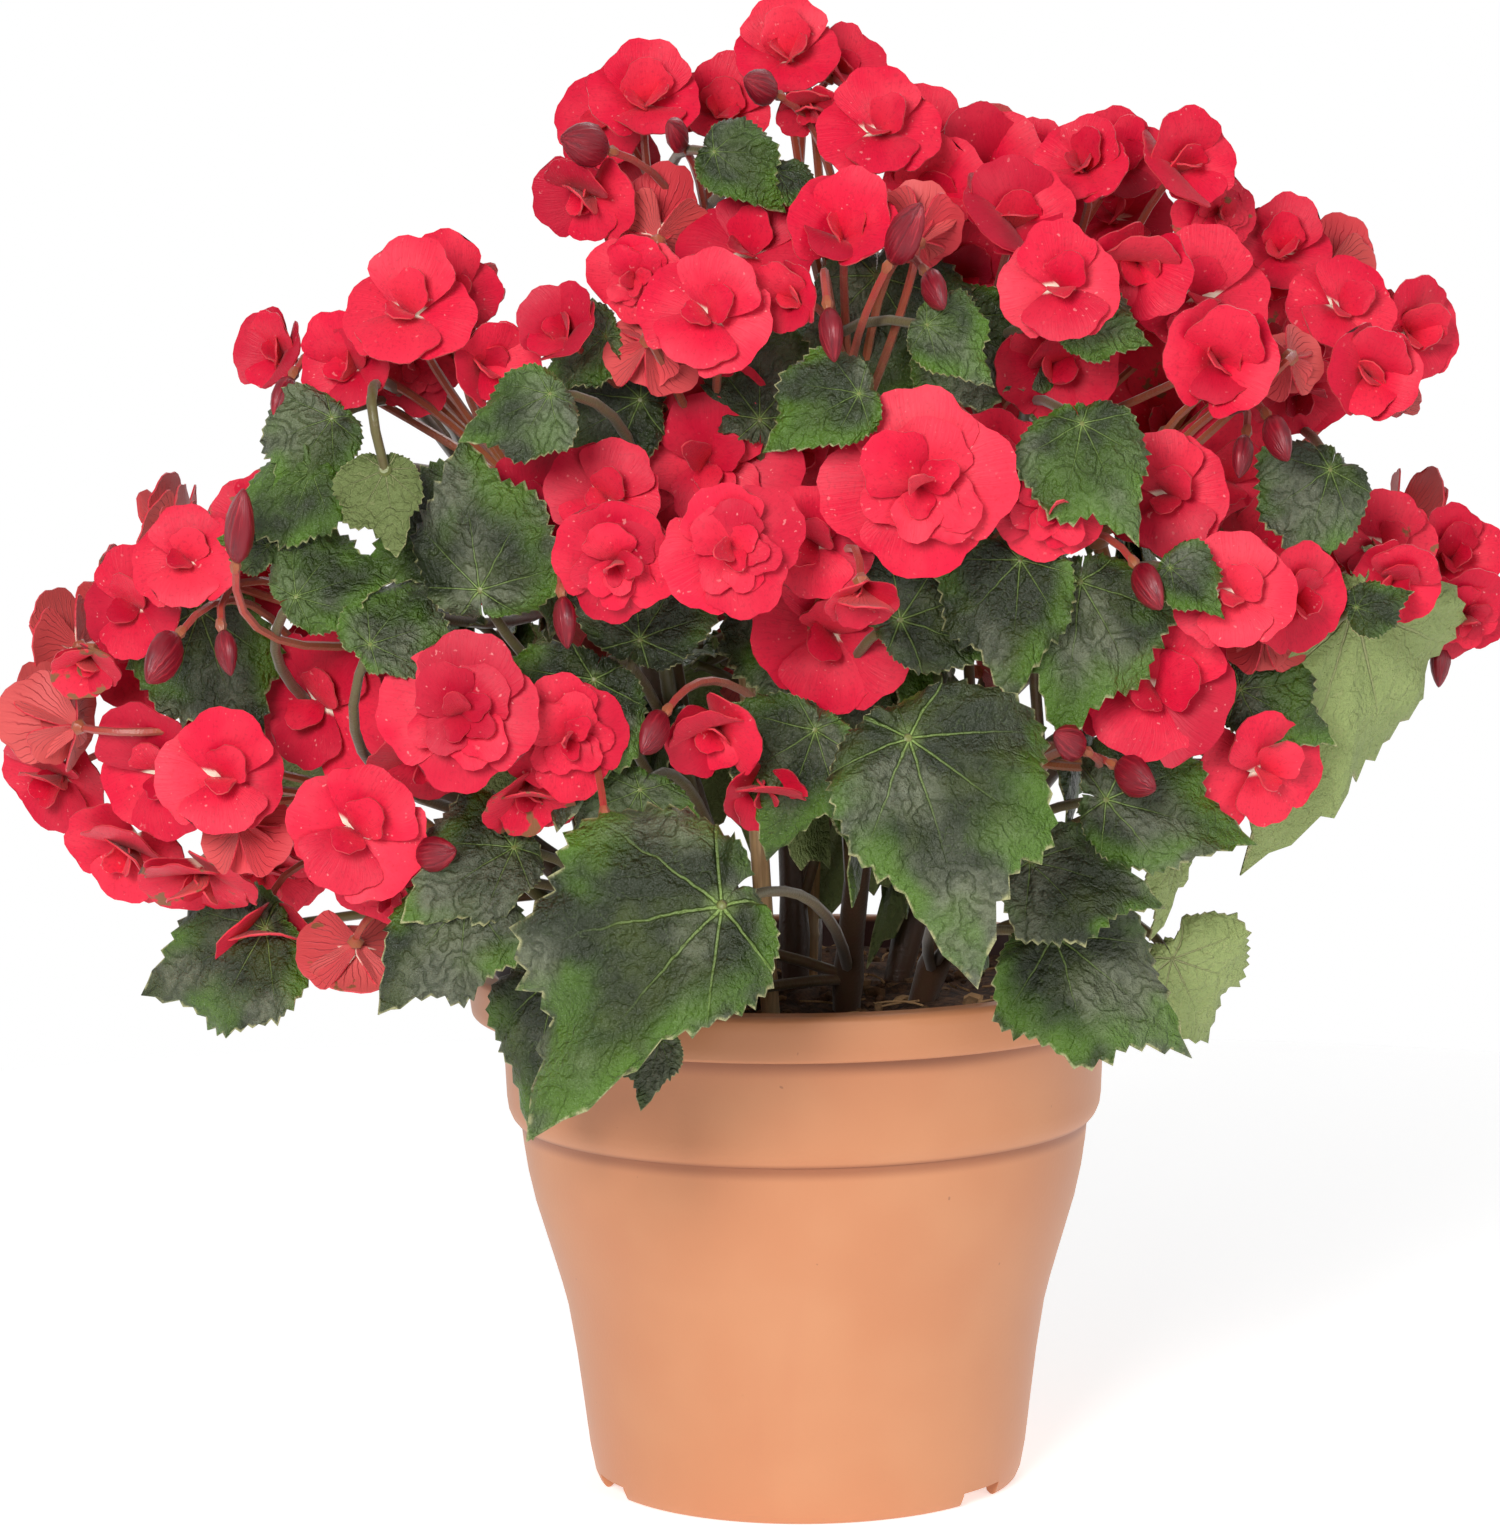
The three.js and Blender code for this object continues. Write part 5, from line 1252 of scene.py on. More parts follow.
@dataclass(frozen=True)
class PotFinish:
    """Terracotta-coloured plastic with small specks, faint streaks, a little dust, and painted shade
    under the lip, under the band and inside the rim.
    """

    base: str = "BF7F58"
    light: str = "CA926A"
    dark: str = "B87050"
    dust: str = "8A5A42"
    # Painted shade colour of the dark lines under the lip and under the band.
    crease: str = "7A3E26"
    shade: str = "3A1712"

    def material(self) -> bpy.types.Material:
        """Builds the material on the place on the pot."""
        paint = Paint("pot plastic", 0.42, Specular_IOR_Level=0.45)
        x, y, z = paint.parts(paint.spot())
        tall = paint.noise(1.0, 2, paint.vector(x * 60, y * 60, z * 6))
        cloud = paint.noise(38, 2)
        skin = paint.mix(cloud.smooth(0.3, 0.8) * 0.4, self.base, self.light)
        skin = paint.mix(tall.smooth(0.55, 0.8) * 0.15, skin, self.dark)
        speck = paint.noise(2.6, 1).smooth(0.78, 0.83)
        skin = paint.mix(speck * 0.6, skin, self.dust)
        # Painted shade: dark lines just under the rolled lip and under the band, where their overhangs
        # cast shadow.
        lip = z.smooth(0.1300, 0.1345) * z.smooth(0.1366, 0.1352)
        band_shadow_line = z.smooth(0.1005, 0.1040) * z.smooth(0.1064, 0.1048)
        skin = paint.mix((lip + band_shadow_line) * 0.6, skin, self.crease)
        east, north = x - POT_AXIS[0] * MM, y - POT_AXIS[1] * MM
        r = (east * east + north * north) ** 0.5
        skin = paint.mix(r.smooth(0.0885, 0.0872) * z.smooth(0.134, 0.137), skin, self.shade)
        paint.finish(skin, paint.noise(1.1, 2), 0.05)
        paint.feed(paint.shader.inputs["Roughness"], 0.36 + cloud * 0.16)
        return paint.material


@dataclass(frozen=True)
class SoilFinish:
    """Dark peat with lighter crumbs."""

    dark: str = "2A1B13"
    brown: str = "6A4A34"
    tan: str = "B08A62"

    def material(self) -> bpy.types.Material:
        """Builds the material on the place in the soil and the tint's age."""
        paint = Paint("peat", 0.95, Specular_IOR_Level=0.2)
        _, _, age = paint.tint()
        crumb = paint.noise(3, 4, rough=0.7)
        skin = paint.mix(crumb.smooth(0.35, 0.7), self.dark, self.brown)
        skin = paint.mix(age, skin, self.tan)
        paint.finish(skin, crumb, 1.4)
        return paint.material


@dataclass(frozen=True)
class BambooFinish:
    """Pale dry bamboo with long fibres and greyer stretches."""

    base: str = "D0A777"
    dark: str = "9C7348"
    grey: str = "B7A68C"

    def material(self) -> bpy.types.Material:
        """Builds the material on the place on the stick."""
        paint = Paint("dry bamboo", 0.5, Specular_IOR_Level=0.4)
        x, y, z = paint.parts(paint.spot())
        fibre = paint.noise(1.0, 3, paint.vector(x * 900, y * 900, z * 30))
        cloud = paint.noise(20, 2)
        skin = paint.mix(fibre.smooth(0.35, 0.7) * 0.8, self.base, self.dark)
        skin = paint.mix(cloud.smooth(0.5, 0.8) * 0.6, skin, self.grey)
        paint.finish(skin, fibre, 0.1)
        return paint.material



# Meshes


def deselect() -> None:
    """Deselects every object."""
    for item in bpy.data.objects:
        item.select_set(False)


class Sheet:
    """A thin sheet that is modelled once, flat and square; every copy is bent by a formula."""

    def __init__(self, across: int, along: int) -> None:
        """Models the sheet.

        Args:
            across: its faces across.
            along: its faces from base to tip.
        """
        deselect()
        bpy.ops.mesh.primitive_grid_add(x_subdivisions=across, y_subdivisions=along, size=2)
        model = bpy.context.active_object
        wall = model.modifiers.new("thickness", "SOLIDIFY")
        wall.thickness = 0.1
        wall.offset = 0
        bpy.ops.object.modifier_apply(modifier=wall.name)
        places = np.array([v.co for v in model.data.vertices])
        self.columns = across
        self.across = -places[:, 0]
        self.along = (places[:, 1] + 1) / 2
        self.side = np.sign(places[:, 2])
        self.faces = [tuple(face.vertices) for face in model.data.polygons]
        bpy.data.objects.remove(model)


class Skin:
    """The growing mesh of one piece."""

    crease = math.radians(52)

    def __init__(self) -> None:
        """Starts with nothing."""
        self.places: list[np.ndarray] = []
        self.maps: list[np.ndarray] = []
        self.tints: list[np.ndarray] = []
        self.faces: list[tuple[int, ...]] = []
        self.finishes: list[int] = []
        self.count = 0

    def add(
        self,
        places: np.ndarray,
        faces: Iterable[tuple[int, ...]],
        grain: np.ndarray,
        tint: np.ndarray,
        finish: int,
    ) -> None:
        """Adds a closed shape.

        Args:
            places: its points in mm from the pot's axis.
            faces: its faces, by number of point.
            grain: two coordinates a point, along its own surface.
            tint: three painted shares a point.
            finish: which of the piece's materials it takes.
        """
        base = self.count
        new = [tuple(base + k for k in face) for face in faces]
        self.places.append(places)
        self.maps.append(grain)
        self.tints.append(tint)
        self.faces.extend(new)
        self.finishes.extend([finish] * len(new))
        self.count += len(places)

    def tube(
        self,
        points: Sequence[Vector],
        radii: Sequence[float],
        sides: int,
        tones: tuple[float, float],
        age: float,
        finish: int,
    ) -> None:
        """Adds a round stalk.

        Args:
            points: its route, foot first.
            radii: its radius at each point.
            sides: its number of sides.
            tones: the tint's tone at its foot and at its tip.
            age: the tint's age.
            finish: which of the piece's materials it takes.
        """
        side = Vector((0.3, 0.9, 0.2))
        rings, grain = [], []
        for k, point in enumerate(points):
            way = (points[min(k + 1, len(points) - 1)] - points[max(k - 1, 0)]).normalized()
            side = (side - way * side.dot(way)).normalized()
            other = way.cross(side)
            for j in range(sides):
                angle = j / sides * TURN
                swing = side * math.cos(angle) + other * math.sin(angle)
                rings.append(point + swing * radii[k])
                grain.append((j / sides, k / (len(points) - 1)))
        last = (len(points) - 1) * sides
        faces = [tuple(reversed(range(sides))), tuple(last + j for j in range(sides))]
        for k in range(len(points) - 1):
            low, high = k * sides, (k + 1) * sides
            for j in range(sides):
                n = (j + 1) % sides
                faces.append((low + j, low + n, high + n, high + j))
        share = np.array(grain)[:, 1]
        tone = tones[0] + (tones[1] - tones[0]) * share
        tint = np.stack([tone, np.zeros_like(tone), np.full_like(tone, age)], 1)
        self.add(np.array(rings), faces, np.array(grain), tint, finish)

    def piece(self, name: str, materials: Sequence[bpy.types.Material]) -> bpy.types.Object:
        """Makes the object, in metres of the frame.

        Args:
            name: its name.
            materials: its materials, in the order that the shapes were numbered in.

        Returns:
            The object, with its place in its mesh.
        """
        mesh = bpy.data.meshes.new(name)
        places = (np.concatenate(self.places) + POT_AXIS) * MM
        mesh.from_pydata(places.tolist(), [], self.faces)
        corners = np.empty(len(mesh.loops), dtype=np.int32)
        mesh.loops.foreach_get("vertex_index", corners)
        grain = mesh.uv_layers.new(name="grain")
        grain.data.foreach_set("uv", np.concatenate(self.maps)[corners].ravel())
        tint = mesh.attributes.new("tint", "FLOAT_COLOR", "POINT")
        shares = np.concatenate(self.tints)
        shares = np.concatenate([shares, np.ones((len(shares), 1))], 1)
        tint.data.foreach_set("color", shares.astype(np.float32).ravel())
        mesh.polygons.foreach_set("material_index", self.finishes)
        for material in materials:
            mesh.materials.append(material)
        made = bpy.data.objects.new(name, mesh)
        bpy.context.scene.collection.objects.link(made)
        deselect()
        made.select_set(True)
        bpy.context.view_layer.objects.active = made
        bpy.ops.object.shade_smooth_by_angle(angle=self.crease)
        return made


def bend(start: Vector, over: Vector, stop: Vector, steps: int) -> list[Vector]:
    """Gives the points of a curve that leaves start towards over and arrives at stop."""
    shares = [k / steps for k in range(steps + 1)]
    return [start * (1 - t) ** 2 + over * (2 * t * (1 - t)) + stop * t**2 for t in shares]


def taper(first: float, last: float, count: int) -> list[float]:
    """Gives sizes that change evenly from first to last."""
    return [first + (last - first) * k / (count - 1) for k in range(count)]


def declare(piece: bpy.types.Object, slot: str, *nodes: str) -> None:
    """Attaches a finished piece to the root body, hides the solids that it stands for and reports it.
    """
    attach(piece, "root")
    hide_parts(*nodes)
    LOG.info("%s: %d faces", piece.name, len(piece.data.polygons))


@dataclass(frozen=True)
class Petal:
    """A petal's shape: sizes in mm, and its rise out of the bloom's plane in degrees."""

    long: float
    wide: float
    rise: tuple[float, float]
    spoon: float
    ruffle: float
    lift: float
    thick: float = 0.5

    def places(self, sheet: Sheet, axes: Axes, at: Vector, angle: float, draw: Draw) -> np.ndarray:
        """Bends a copy of a sheet into this petal.

        Args:
            sheet: the flat sheet.
            axes: the bloom's axes.
            at: the bloom's middle.
            angle: where the petal stands round the bloom.
            draw: the random numbers of its waves and nicks.

        Returns:
            The points of the copy.
        """
        s, t = sheet.across, sheet.along
        swell = np.sin(0.5 * np.pi * np.minimum(1, t / 0.68)) ** 1.1
        half = self.wide / 2 * (0.24 + 0.76 * swell) * (1 - 0.1 * np.maximum(0, (t - 0.68) / 0.32) ** 2)
        x = s * half * (1 - 0.22 * t**3 * s**2)
        nicks = np.array([draw(-1, 1) for _ in range(16)])
        edge = nicks[(np.round((s + 1) * 4 + t * 7)).astype(int) % 16]
        rim = (t > 0.99) | (np.abs(s) > 0.99)
        y = t - 0.3 * t**2 * s**2 - 0.05 * t**4 * np.exp(-((s / 0.22) ** 2)) + rim * edge * 0.008 * t
        steps = np.linspace(0, 1.1, 45)
        slopes = np.radians(self.rise[0] + (self.rise[1] - self.rise[0]) * steps)
        gap = steps[1]
        out = np.concatenate([[0], np.cumsum(np.cos(slopes[:-1]) * gap)])
        up = np.concatenate([[0], np.cumsum(np.sin(slopes[:-1]) * gap)])
        slope = np.interp(y, steps, slopes)
        a, b, c = draw(0, TURN), draw(0, TURN), draw(0, TURN)
        wave = 0.55 * np.sin(2.9 * s + a) + 0.6 * s**2 * np.sin(6.2 * t + b + np.sign(s))
        wave = wave + 0.3 * np.sin(7.5 * s + c)
        off = self.ruffle * self.long * t**2 * wave
        off = off + self.spoon * x**2 / (self.wide / 2) + sheet.side * self.thick / 2
        off = off + draw(-0.08, 0.08) * x
        reach = self.long * np.interp(y, steps, out) - off * np.sin(slope)
        height = self.long * np.interp(y, steps, up) + off * np.cos(slope) + self.lift
        ahead = axes.u * math.cos(angle) + axes.v * math.sin(angle)
        beside = axes.v * math.cos(angle) - axes.u * math.sin(angle)
        frame = np.array([ahead, beside, axes.n])
        return np.stack([reach, x, height], 1) @ frame + np.array(at)


@dataclass(frozen=True)
class Place:
    """Where a petal stands in a bloom: sizes are shares of half of the bloom's width."""

    turn: float
    share: float
    wide: float
    rise: tuple[float, float]
    spoon: float = 0.0
    ruffle: float = 0.05
    lift: float = 0.0
    loose: float = 0.12


FORMS = {
    Kind.OPEN: (
        Place(-90, 1.0, 1.5, (18, -14), -0.04),
        Place(82, 0.98, 1.55, (24, -8), -0.02),
        Place(-2, 0.9, 1.3, (30, -10), 0.02, lift=0.05),
        Place(176, 1.0, 1.4, (34, -2), 0.04, lift=0.05),
        Place(150, 0.5, 0.72, (60, 30), 0.16, 0.07, 0.06, 0.5),
        Place(-30, 0.36, 0.5, (70, 40), 0.2, 0.08, 0.06, 0.5),
    ),
    Kind.PLAIN: (
        Place(-96, 0.98, 1.6, (40, 0), 0.02),
        Place(88, 1.0, 1.6, (34, -4), 0.0),
        Place(4, 0.84, 1.35, (40, -6), 0.04, lift=0.04),
        Place(180, 1.02, 1.5, (56, 14), 0.08, lift=0.04),
        Place(170, 0.62, 0.9, (70, 40), 0.18, 0.07, 0.06, 0.5),
        Place(60, 0.44, 0.6, (78, 52), 0.2, 0.08, 0.06, 0.5),
        Place(-70, 0.4, 0.56, (74, 46), 0.2, 0.08, 0.07, 0.5),
    ),
    Kind.DOUBLE: (
        Place(-94, 1.04, 1.4, (10, -14), -0.05),
        Place(90, 1.02, 1.4, (12, -12), -0.05),
        Place(-4, 0.98, 1.25, (8, -14), -0.04, lift=0.02),
        Place(176, 1.0, 1.35, (24, -6), 0.0, lift=0.03),
        Place(144, 0.74, 0.88, (46, -14), -0.1, 0.06, 0.07, 0.25),
        Place(208, 0.72, 0.84, (52, -10), -0.12, 0.06, 0.09, 0.25),
        Place(-62, 0.68, 0.66, (24, -4), 0.05, 0.05, 0.06, 0.3),
        Place(62, 0.7, 0.66, (24, -6), 0.05, 0.05, 0.06, 0.3),
        Place(18, 0.7, 0.64, (20, -8), 0.04, 0.05, 0.09, 0.3),
        Place(-26, 0.62, 0.56, (28, -2), 0.08, 0.05, 0.11, 0.3),
        Place(46, 0.52, 0.46, (36, 8), 0.12, 0.05, 0.13, 0.4),
        Place(112, 0.46, 0.42, (52, 14), 0.18, 0.06, 0.12, 0.5),
        Place(-12, 0.38, 0.34, (50, 22), 0.2, 0.06, 0.13, 0.5),
        Place(-120, 0.44, 0.34, (84, 66), 0.34, 0.05, 0.1, 0.8),
    ),
    Kind.CUP: (
        Place(-90, 0.95, 1.75, (70, 12), 0.14, 0.045),
        Place(90, 0.95, 1.75, (66, 8), 0.14, 0.045),
        Place(0, 0.8, 1.3, (66, 6), 0.12, lift=0.03),
        Place(180, 0.9, 1.5, (76, 22), 0.14, lift=0.03),
        Place(140, 0.5, 0.8, (82, 54), 0.22, 0.07, 0.04, 0.5),
        Place(-50, 0.44, 0.7, (84, 58), 0.24, 0.07, 0.04, 0.5),
    ),
}
PETAL, STALK, BUD = 0, 1, 2


class Flowers:
    """Builds the flower sprays."""

    stalk_radii = (1.25, 1.05)
    peduncle_radii = (2.1, 2.3)
    bract_long = 10.0

    def __init__(self, layout: Layout) -> None:
        """Models the petal and the bud once, and mixes the finishes."""
        self.layout = layout
        self.wide = Sheet(8, 7)
        self.narrow = Sheet(5, 5)
        deselect()
        bpy.ops.mesh.primitive_uv_sphere_add(segments=10, ring_count=8, radius=1)
        ball = bpy.context.active_object
        self.ball = np.array([v.co for v in ball.data.vertices])
        self.ball_faces = [tuple(face.vertices) for face in ball.data.polygons]
        bpy.data.objects.remove(ball)
        self.materials = (
            PetalFinish().material(),
            StalkFinish().material(),
            BudFinish().material(),
        )

    def build(self) -> None:
        """Builds every spray."""
        for s, spray in enumerate(self.layout.sprays):
            skin = Skin()
            self._stalks(skin, spray)
            for b, bloom in enumerate(spray.blooms):
                draw = Draw(101 * s + 7 * b + 3)
                if bloom.small:
                    self._bud(skin, bloom, draw)
                else:
                    self._bloom(skin, bloom, draw)
            self._bracts(skin, spray, Draw(700 + s))
            piece = skin.piece(f"{spray.name}_flowers", self.materials)
            declare(piece, "petals", spray.name)

    def _bloom(self, skin: Skin, bloom: Bloom, draw: Draw) -> None:
        """Adds a bloom: its whorls of petals, the outermost first."""
        axes = Axes.towards(bloom.face, Vector((0, 0, -1)))
        half = bloom.width / 2
        turn = draw(-0.5, 0.5)
        bright = draw(0.3, 0.8)
        aged = 1.0 if draw(0, 1) < 0.12 else 0.0
        waves = Draw(int(draw(0, 1e6)))
        hearty = bloom.kind in (Kind.OPEN, Kind.PLAIN)
        for w, place in enumerate(FORMS[bloom.kind]):
            middle = turn + math.radians(place.turn) + draw(-place.loose, place.loose)
            size = place.share * draw(0.9, 1.06)
            tilt = draw(-9, 9)
            rise = (place.rise[0] + tilt, place.rise[1] + tilt + draw(-6, 6))
            slopes = np.radians(np.linspace(*rise, 20))
            long = half * size / max(0.62, np.cos(slopes).mean())
            lift = half * (place.lift + 0.02 * (w % 2))
            wide = half * place.wide * draw(0.9, 1.1)
            ruffle = place.ruffle * draw(0.3, 0.9)
            form = Petal(long, wide, rise, place.spoon * draw(0.6, 1.5), ruffle, lift)
            sheet = self.wide if w < 4 else self.narrow
            places = form.places(sheet, axes, bloom.neck, middle, waves)
            tone = np.full(len(places), min(1.0, max(0.0, bright + draw(-0.4, 0.35))))
            age = np.full(len(places), aged + (2.0 if hearty and w < 4 else 0.0))
            tint = np.stack([tone, sheet.side < 0, age], 1)
            grain = np.stack([(sheet.across + 1) / 2, sheet.along], 1)
            skin.add(places, sheet.faces, grain, tint.astype(float), PETAL)

    def _bud(self, skin: Skin, bloom: Bloom, draw: Draw) -> None:
        """Adds a closed bud: flat from side to side, with a keel and a blunt tip."""
        axes = Axes.towards(bloom.face, Vector((0, 0, -1)))
        wide = bloom.width * (0.72 if bloom.kind is Kind.BUD else 0.6)
        share = (self.ball[:, 2] + 1) / 2
        shoulder = np.sqrt(np.maximum(0, 1 - self.ball[:, 2] ** 2)) + 1e-6
        x, y = self.ball[:, 0] / shoulder, self.ball[:, 1] / shoulder
        swell = np.sin(np.pi * np.clip(share, 0, 1) ** 0.8) ** 0.7 * wide / 2
        flat = 0.6 * (1 - 0.35 * np.abs(x) ** 3)
        frame = np.array([axes.u, axes.v, axes.n])
        places = np.stack([x * swell, y * swell * flat, share * bloom.width], 1) @ frame
        tone = np.full(len(places), draw(0, 1))
        tint = np.stack([tone, np.zeros_like(tone), np.zeros_like(tone)], 1)
        grain = np.stack([np.abs(x), share], 1)
        skin.add(places + np.array(bloom.neck), self.ball_faces, grain, tint, BUD)

    def _stalks(self, skin: Skin, spray: Spray) -> None:
        """Adds the spray's own stalk, its swollen fork and a stalk for each bloom."""
        foot = spray.fork - spray.way * (PEDUNCLE - 0.35)
        route = bend(foot, foot.lerp(spray.fork, 0.5), spray.fork + spray.way, 4)
        skin.tube(route, taper(*self.peduncle_radii, 5), 8, (0.9, 1.0), 0.2, STALK)
        knot = [spray.fork + spray.way * h for h in (-4.2, -2.8, 0, 2.8, 4.2)]
        skin.tube(knot, [1.4, 3.0, 3.7, 3.0, 1.2], 8, (1.0, 0.9), 0.25, STALK)
        for bloom in spray.blooms:
            away = (bloom.neck - spray.fork).normalized()
            root = spray.fork + away * (0.5 * KNOT)
            reach = (bloom.at - root).length
            over = bloom.at - bloom.face * (0.45 * reach)
            route = bend(root, over, bloom.neck, 8)
            radii = taper(*self.stalk_radii, 9)
            skin.tube(route, radii, 6, (0.8, 0.05), 0.0, STALK)
            tip = [bloom.neck + bloom.face * h for h in (-3.2, -1.2, 0.6)]
            wide = 1.6 if bloom.small else 2.4
            skin.tube(tip, [1.05, wide, wide * 0.6], 6, (0.4, 0.7), 0.0, STALK)

    def _bracts(self, skin: Skin, spray: Spray, draw: Draw) -> None:
        """Adds two small bracts at the fork, and dry ones at some."""
        axes = Axes.towards(spray.way, Vector((1, 0, 0)))
        turn = draw(0, TURN)
        age = 1.0 if draw(0, 1) < 0.35 else 0.15
        for k in range(2):
            long = self.bract_long * draw(0.8, 1.25)
            form = Petal(long, long * 0.7, (62, 10), 0.3, 0.06, 1.0)
            places = form.places(self.narrow, axes, spray.fork, turn + k * 2.6, draw)
            ones = np.ones(len(places))
            tint = np.stack([ones * draw(0, 1), ones, ones * age], 1)
            grain = np.stack([(self.narrow.across + 1) / 2, self.narrow.along], 1)
            skin.add(places, self.narrow.faces, grain, tint, BUD)


@dataclass(frozen=True)
class LeafForm:
    """A leaf's outline: angle from its tip in degrees, and reach as a share of its length."""

    outline: tuple[tuple[float, float], ...] = (
        (-178, 0.17),
        (-134, 0.21),
        (-96, 0.34),
        (-66, 0.46),
        (-40, 0.62),
        (-20, 0.7),
        (0, 1.0),
        (19, 0.76),
        (38, 0.8),
        (58, 0.66),
        (84, 0.66),
        (108, 0.46),
        (136, 0.28),
        (178, 0.17),
    )
    droop: float = 0.16
    folded: float = 0.72
    large: float = 60.0
    thick: float = 0.5
    tooth_steps: tuple[float, ...] = (0.05, -0.034, 0.02, -0.042)

    @property
    def soften(self) -> np.ndarray:
        """Gives the weights that round off the outline's corners over a few degrees."""
        bell = np.hanning(19)
        return bell / bell.sum()

    def places(
        self, sheet: Sheet, leaf: Leaf, axes: Axes
    ) -> tuple[np.ndarray, np.ndarray, np.ndarray]:
        """Bends a copy of a sheet into a leaf.

        Args:
            sheet: the flat sheet, whose width becomes the way round the leaf.
            leaf: the leaf.
            axes: its axes.

        Returns:
            The points, their two coordinates on the leaf, and how near the edge each is.
        """
        draw = Draw(leaf.seed)
        way = 1 if leaf.wide_left else -1
        slim = self.folded if leaf.long > self.large else 1.0
        halves = [(a, r * slim if a < -10 else r) for a, r in self.outline]
        rows = sorted((way * angle, reach) for angle, reach in halves)
        angles = np.array([row[0] for row in rows])
        reaches = np.array([row[1] * draw(0.95, 1.05) for row in rows]) * leaf.long
        degrees = np.arange(-178, 179)
        soft = np.convolve(np.interp(degrees, angles, reaches), self.soften, "same")
        blend = np.clip((178 - np.abs(degrees)) / 12, 0, 1)
        soft = soft * blend + np.interp(degrees, angles, reaches) * (1 - blend)
        soft = soft + 0.1 * leaf.long * np.exp(-((degrees / 7) ** 2))
        turn = np.radians(178) * sheet.across
        edge = 1 - (1 - sheet.along) ** 1.25
        tooth = np.round((sheet.across + 1) * sheet.columns / 2).astype(int)
        steps = [self.tooth_steps[k % 4] for k in range(sheet.columns + 1)]
        jags = np.array([draw(0.35, 1.3) * step for step in steps])
        reach = np.interp(np.degrees(turn), degrees, soft) * (1 + jags[tooth] * (edge > 0.99))
        radius = 0.02 * leaf.long * (1 - edge) + reach * edge
        x, y = radius * np.cos(turn), radius * np.sin(turn)
        rays = np.radians(LeafFinish().rays)
        gap = np.min([np.abs((turn - ray + np.pi) % TURN - np.pi) for ray in rays], 0)
        quilt = 0.05 * leaf.long * edge * (1 - np.exp(-((gap / 0.2) ** 2)))
        a, b, c, d = (draw(0, TURN) for _ in range(4))
        wave = 0.06 * np.sin(4 * turn + a) + 0.03 * np.sin(9 * turn + b)
        wave = wave + 0.018 * np.sin(17 * turn + c)
        pucker = 0.012 * np.sin(edge * 13 + d) * np.sin(turn * 7 + a) * edge
        sag = -self.droop * radius**2 / leaf.long
        fold = 0.12 * np.abs(y) * (1 - 0.4 * edge)
        curl = -0.05 * leaf.long * edge**6
        height = sag + quilt * (1 - 0.5 * edge) + (wave * edge**3 + pucker) * leaf.long + fold + curl
        height = height + sheet.side * self.thick / 2
        frame = np.array([axes.u, axes.v, axes.n])
        places = np.stack([x, y, height], 1) @ frame + np.array(leaf.at)
        grain = np.stack([x / leaf.long / 2.4 + 0.5, y / leaf.long / 2.4 + 0.5], 1)
        return places, grain, edge


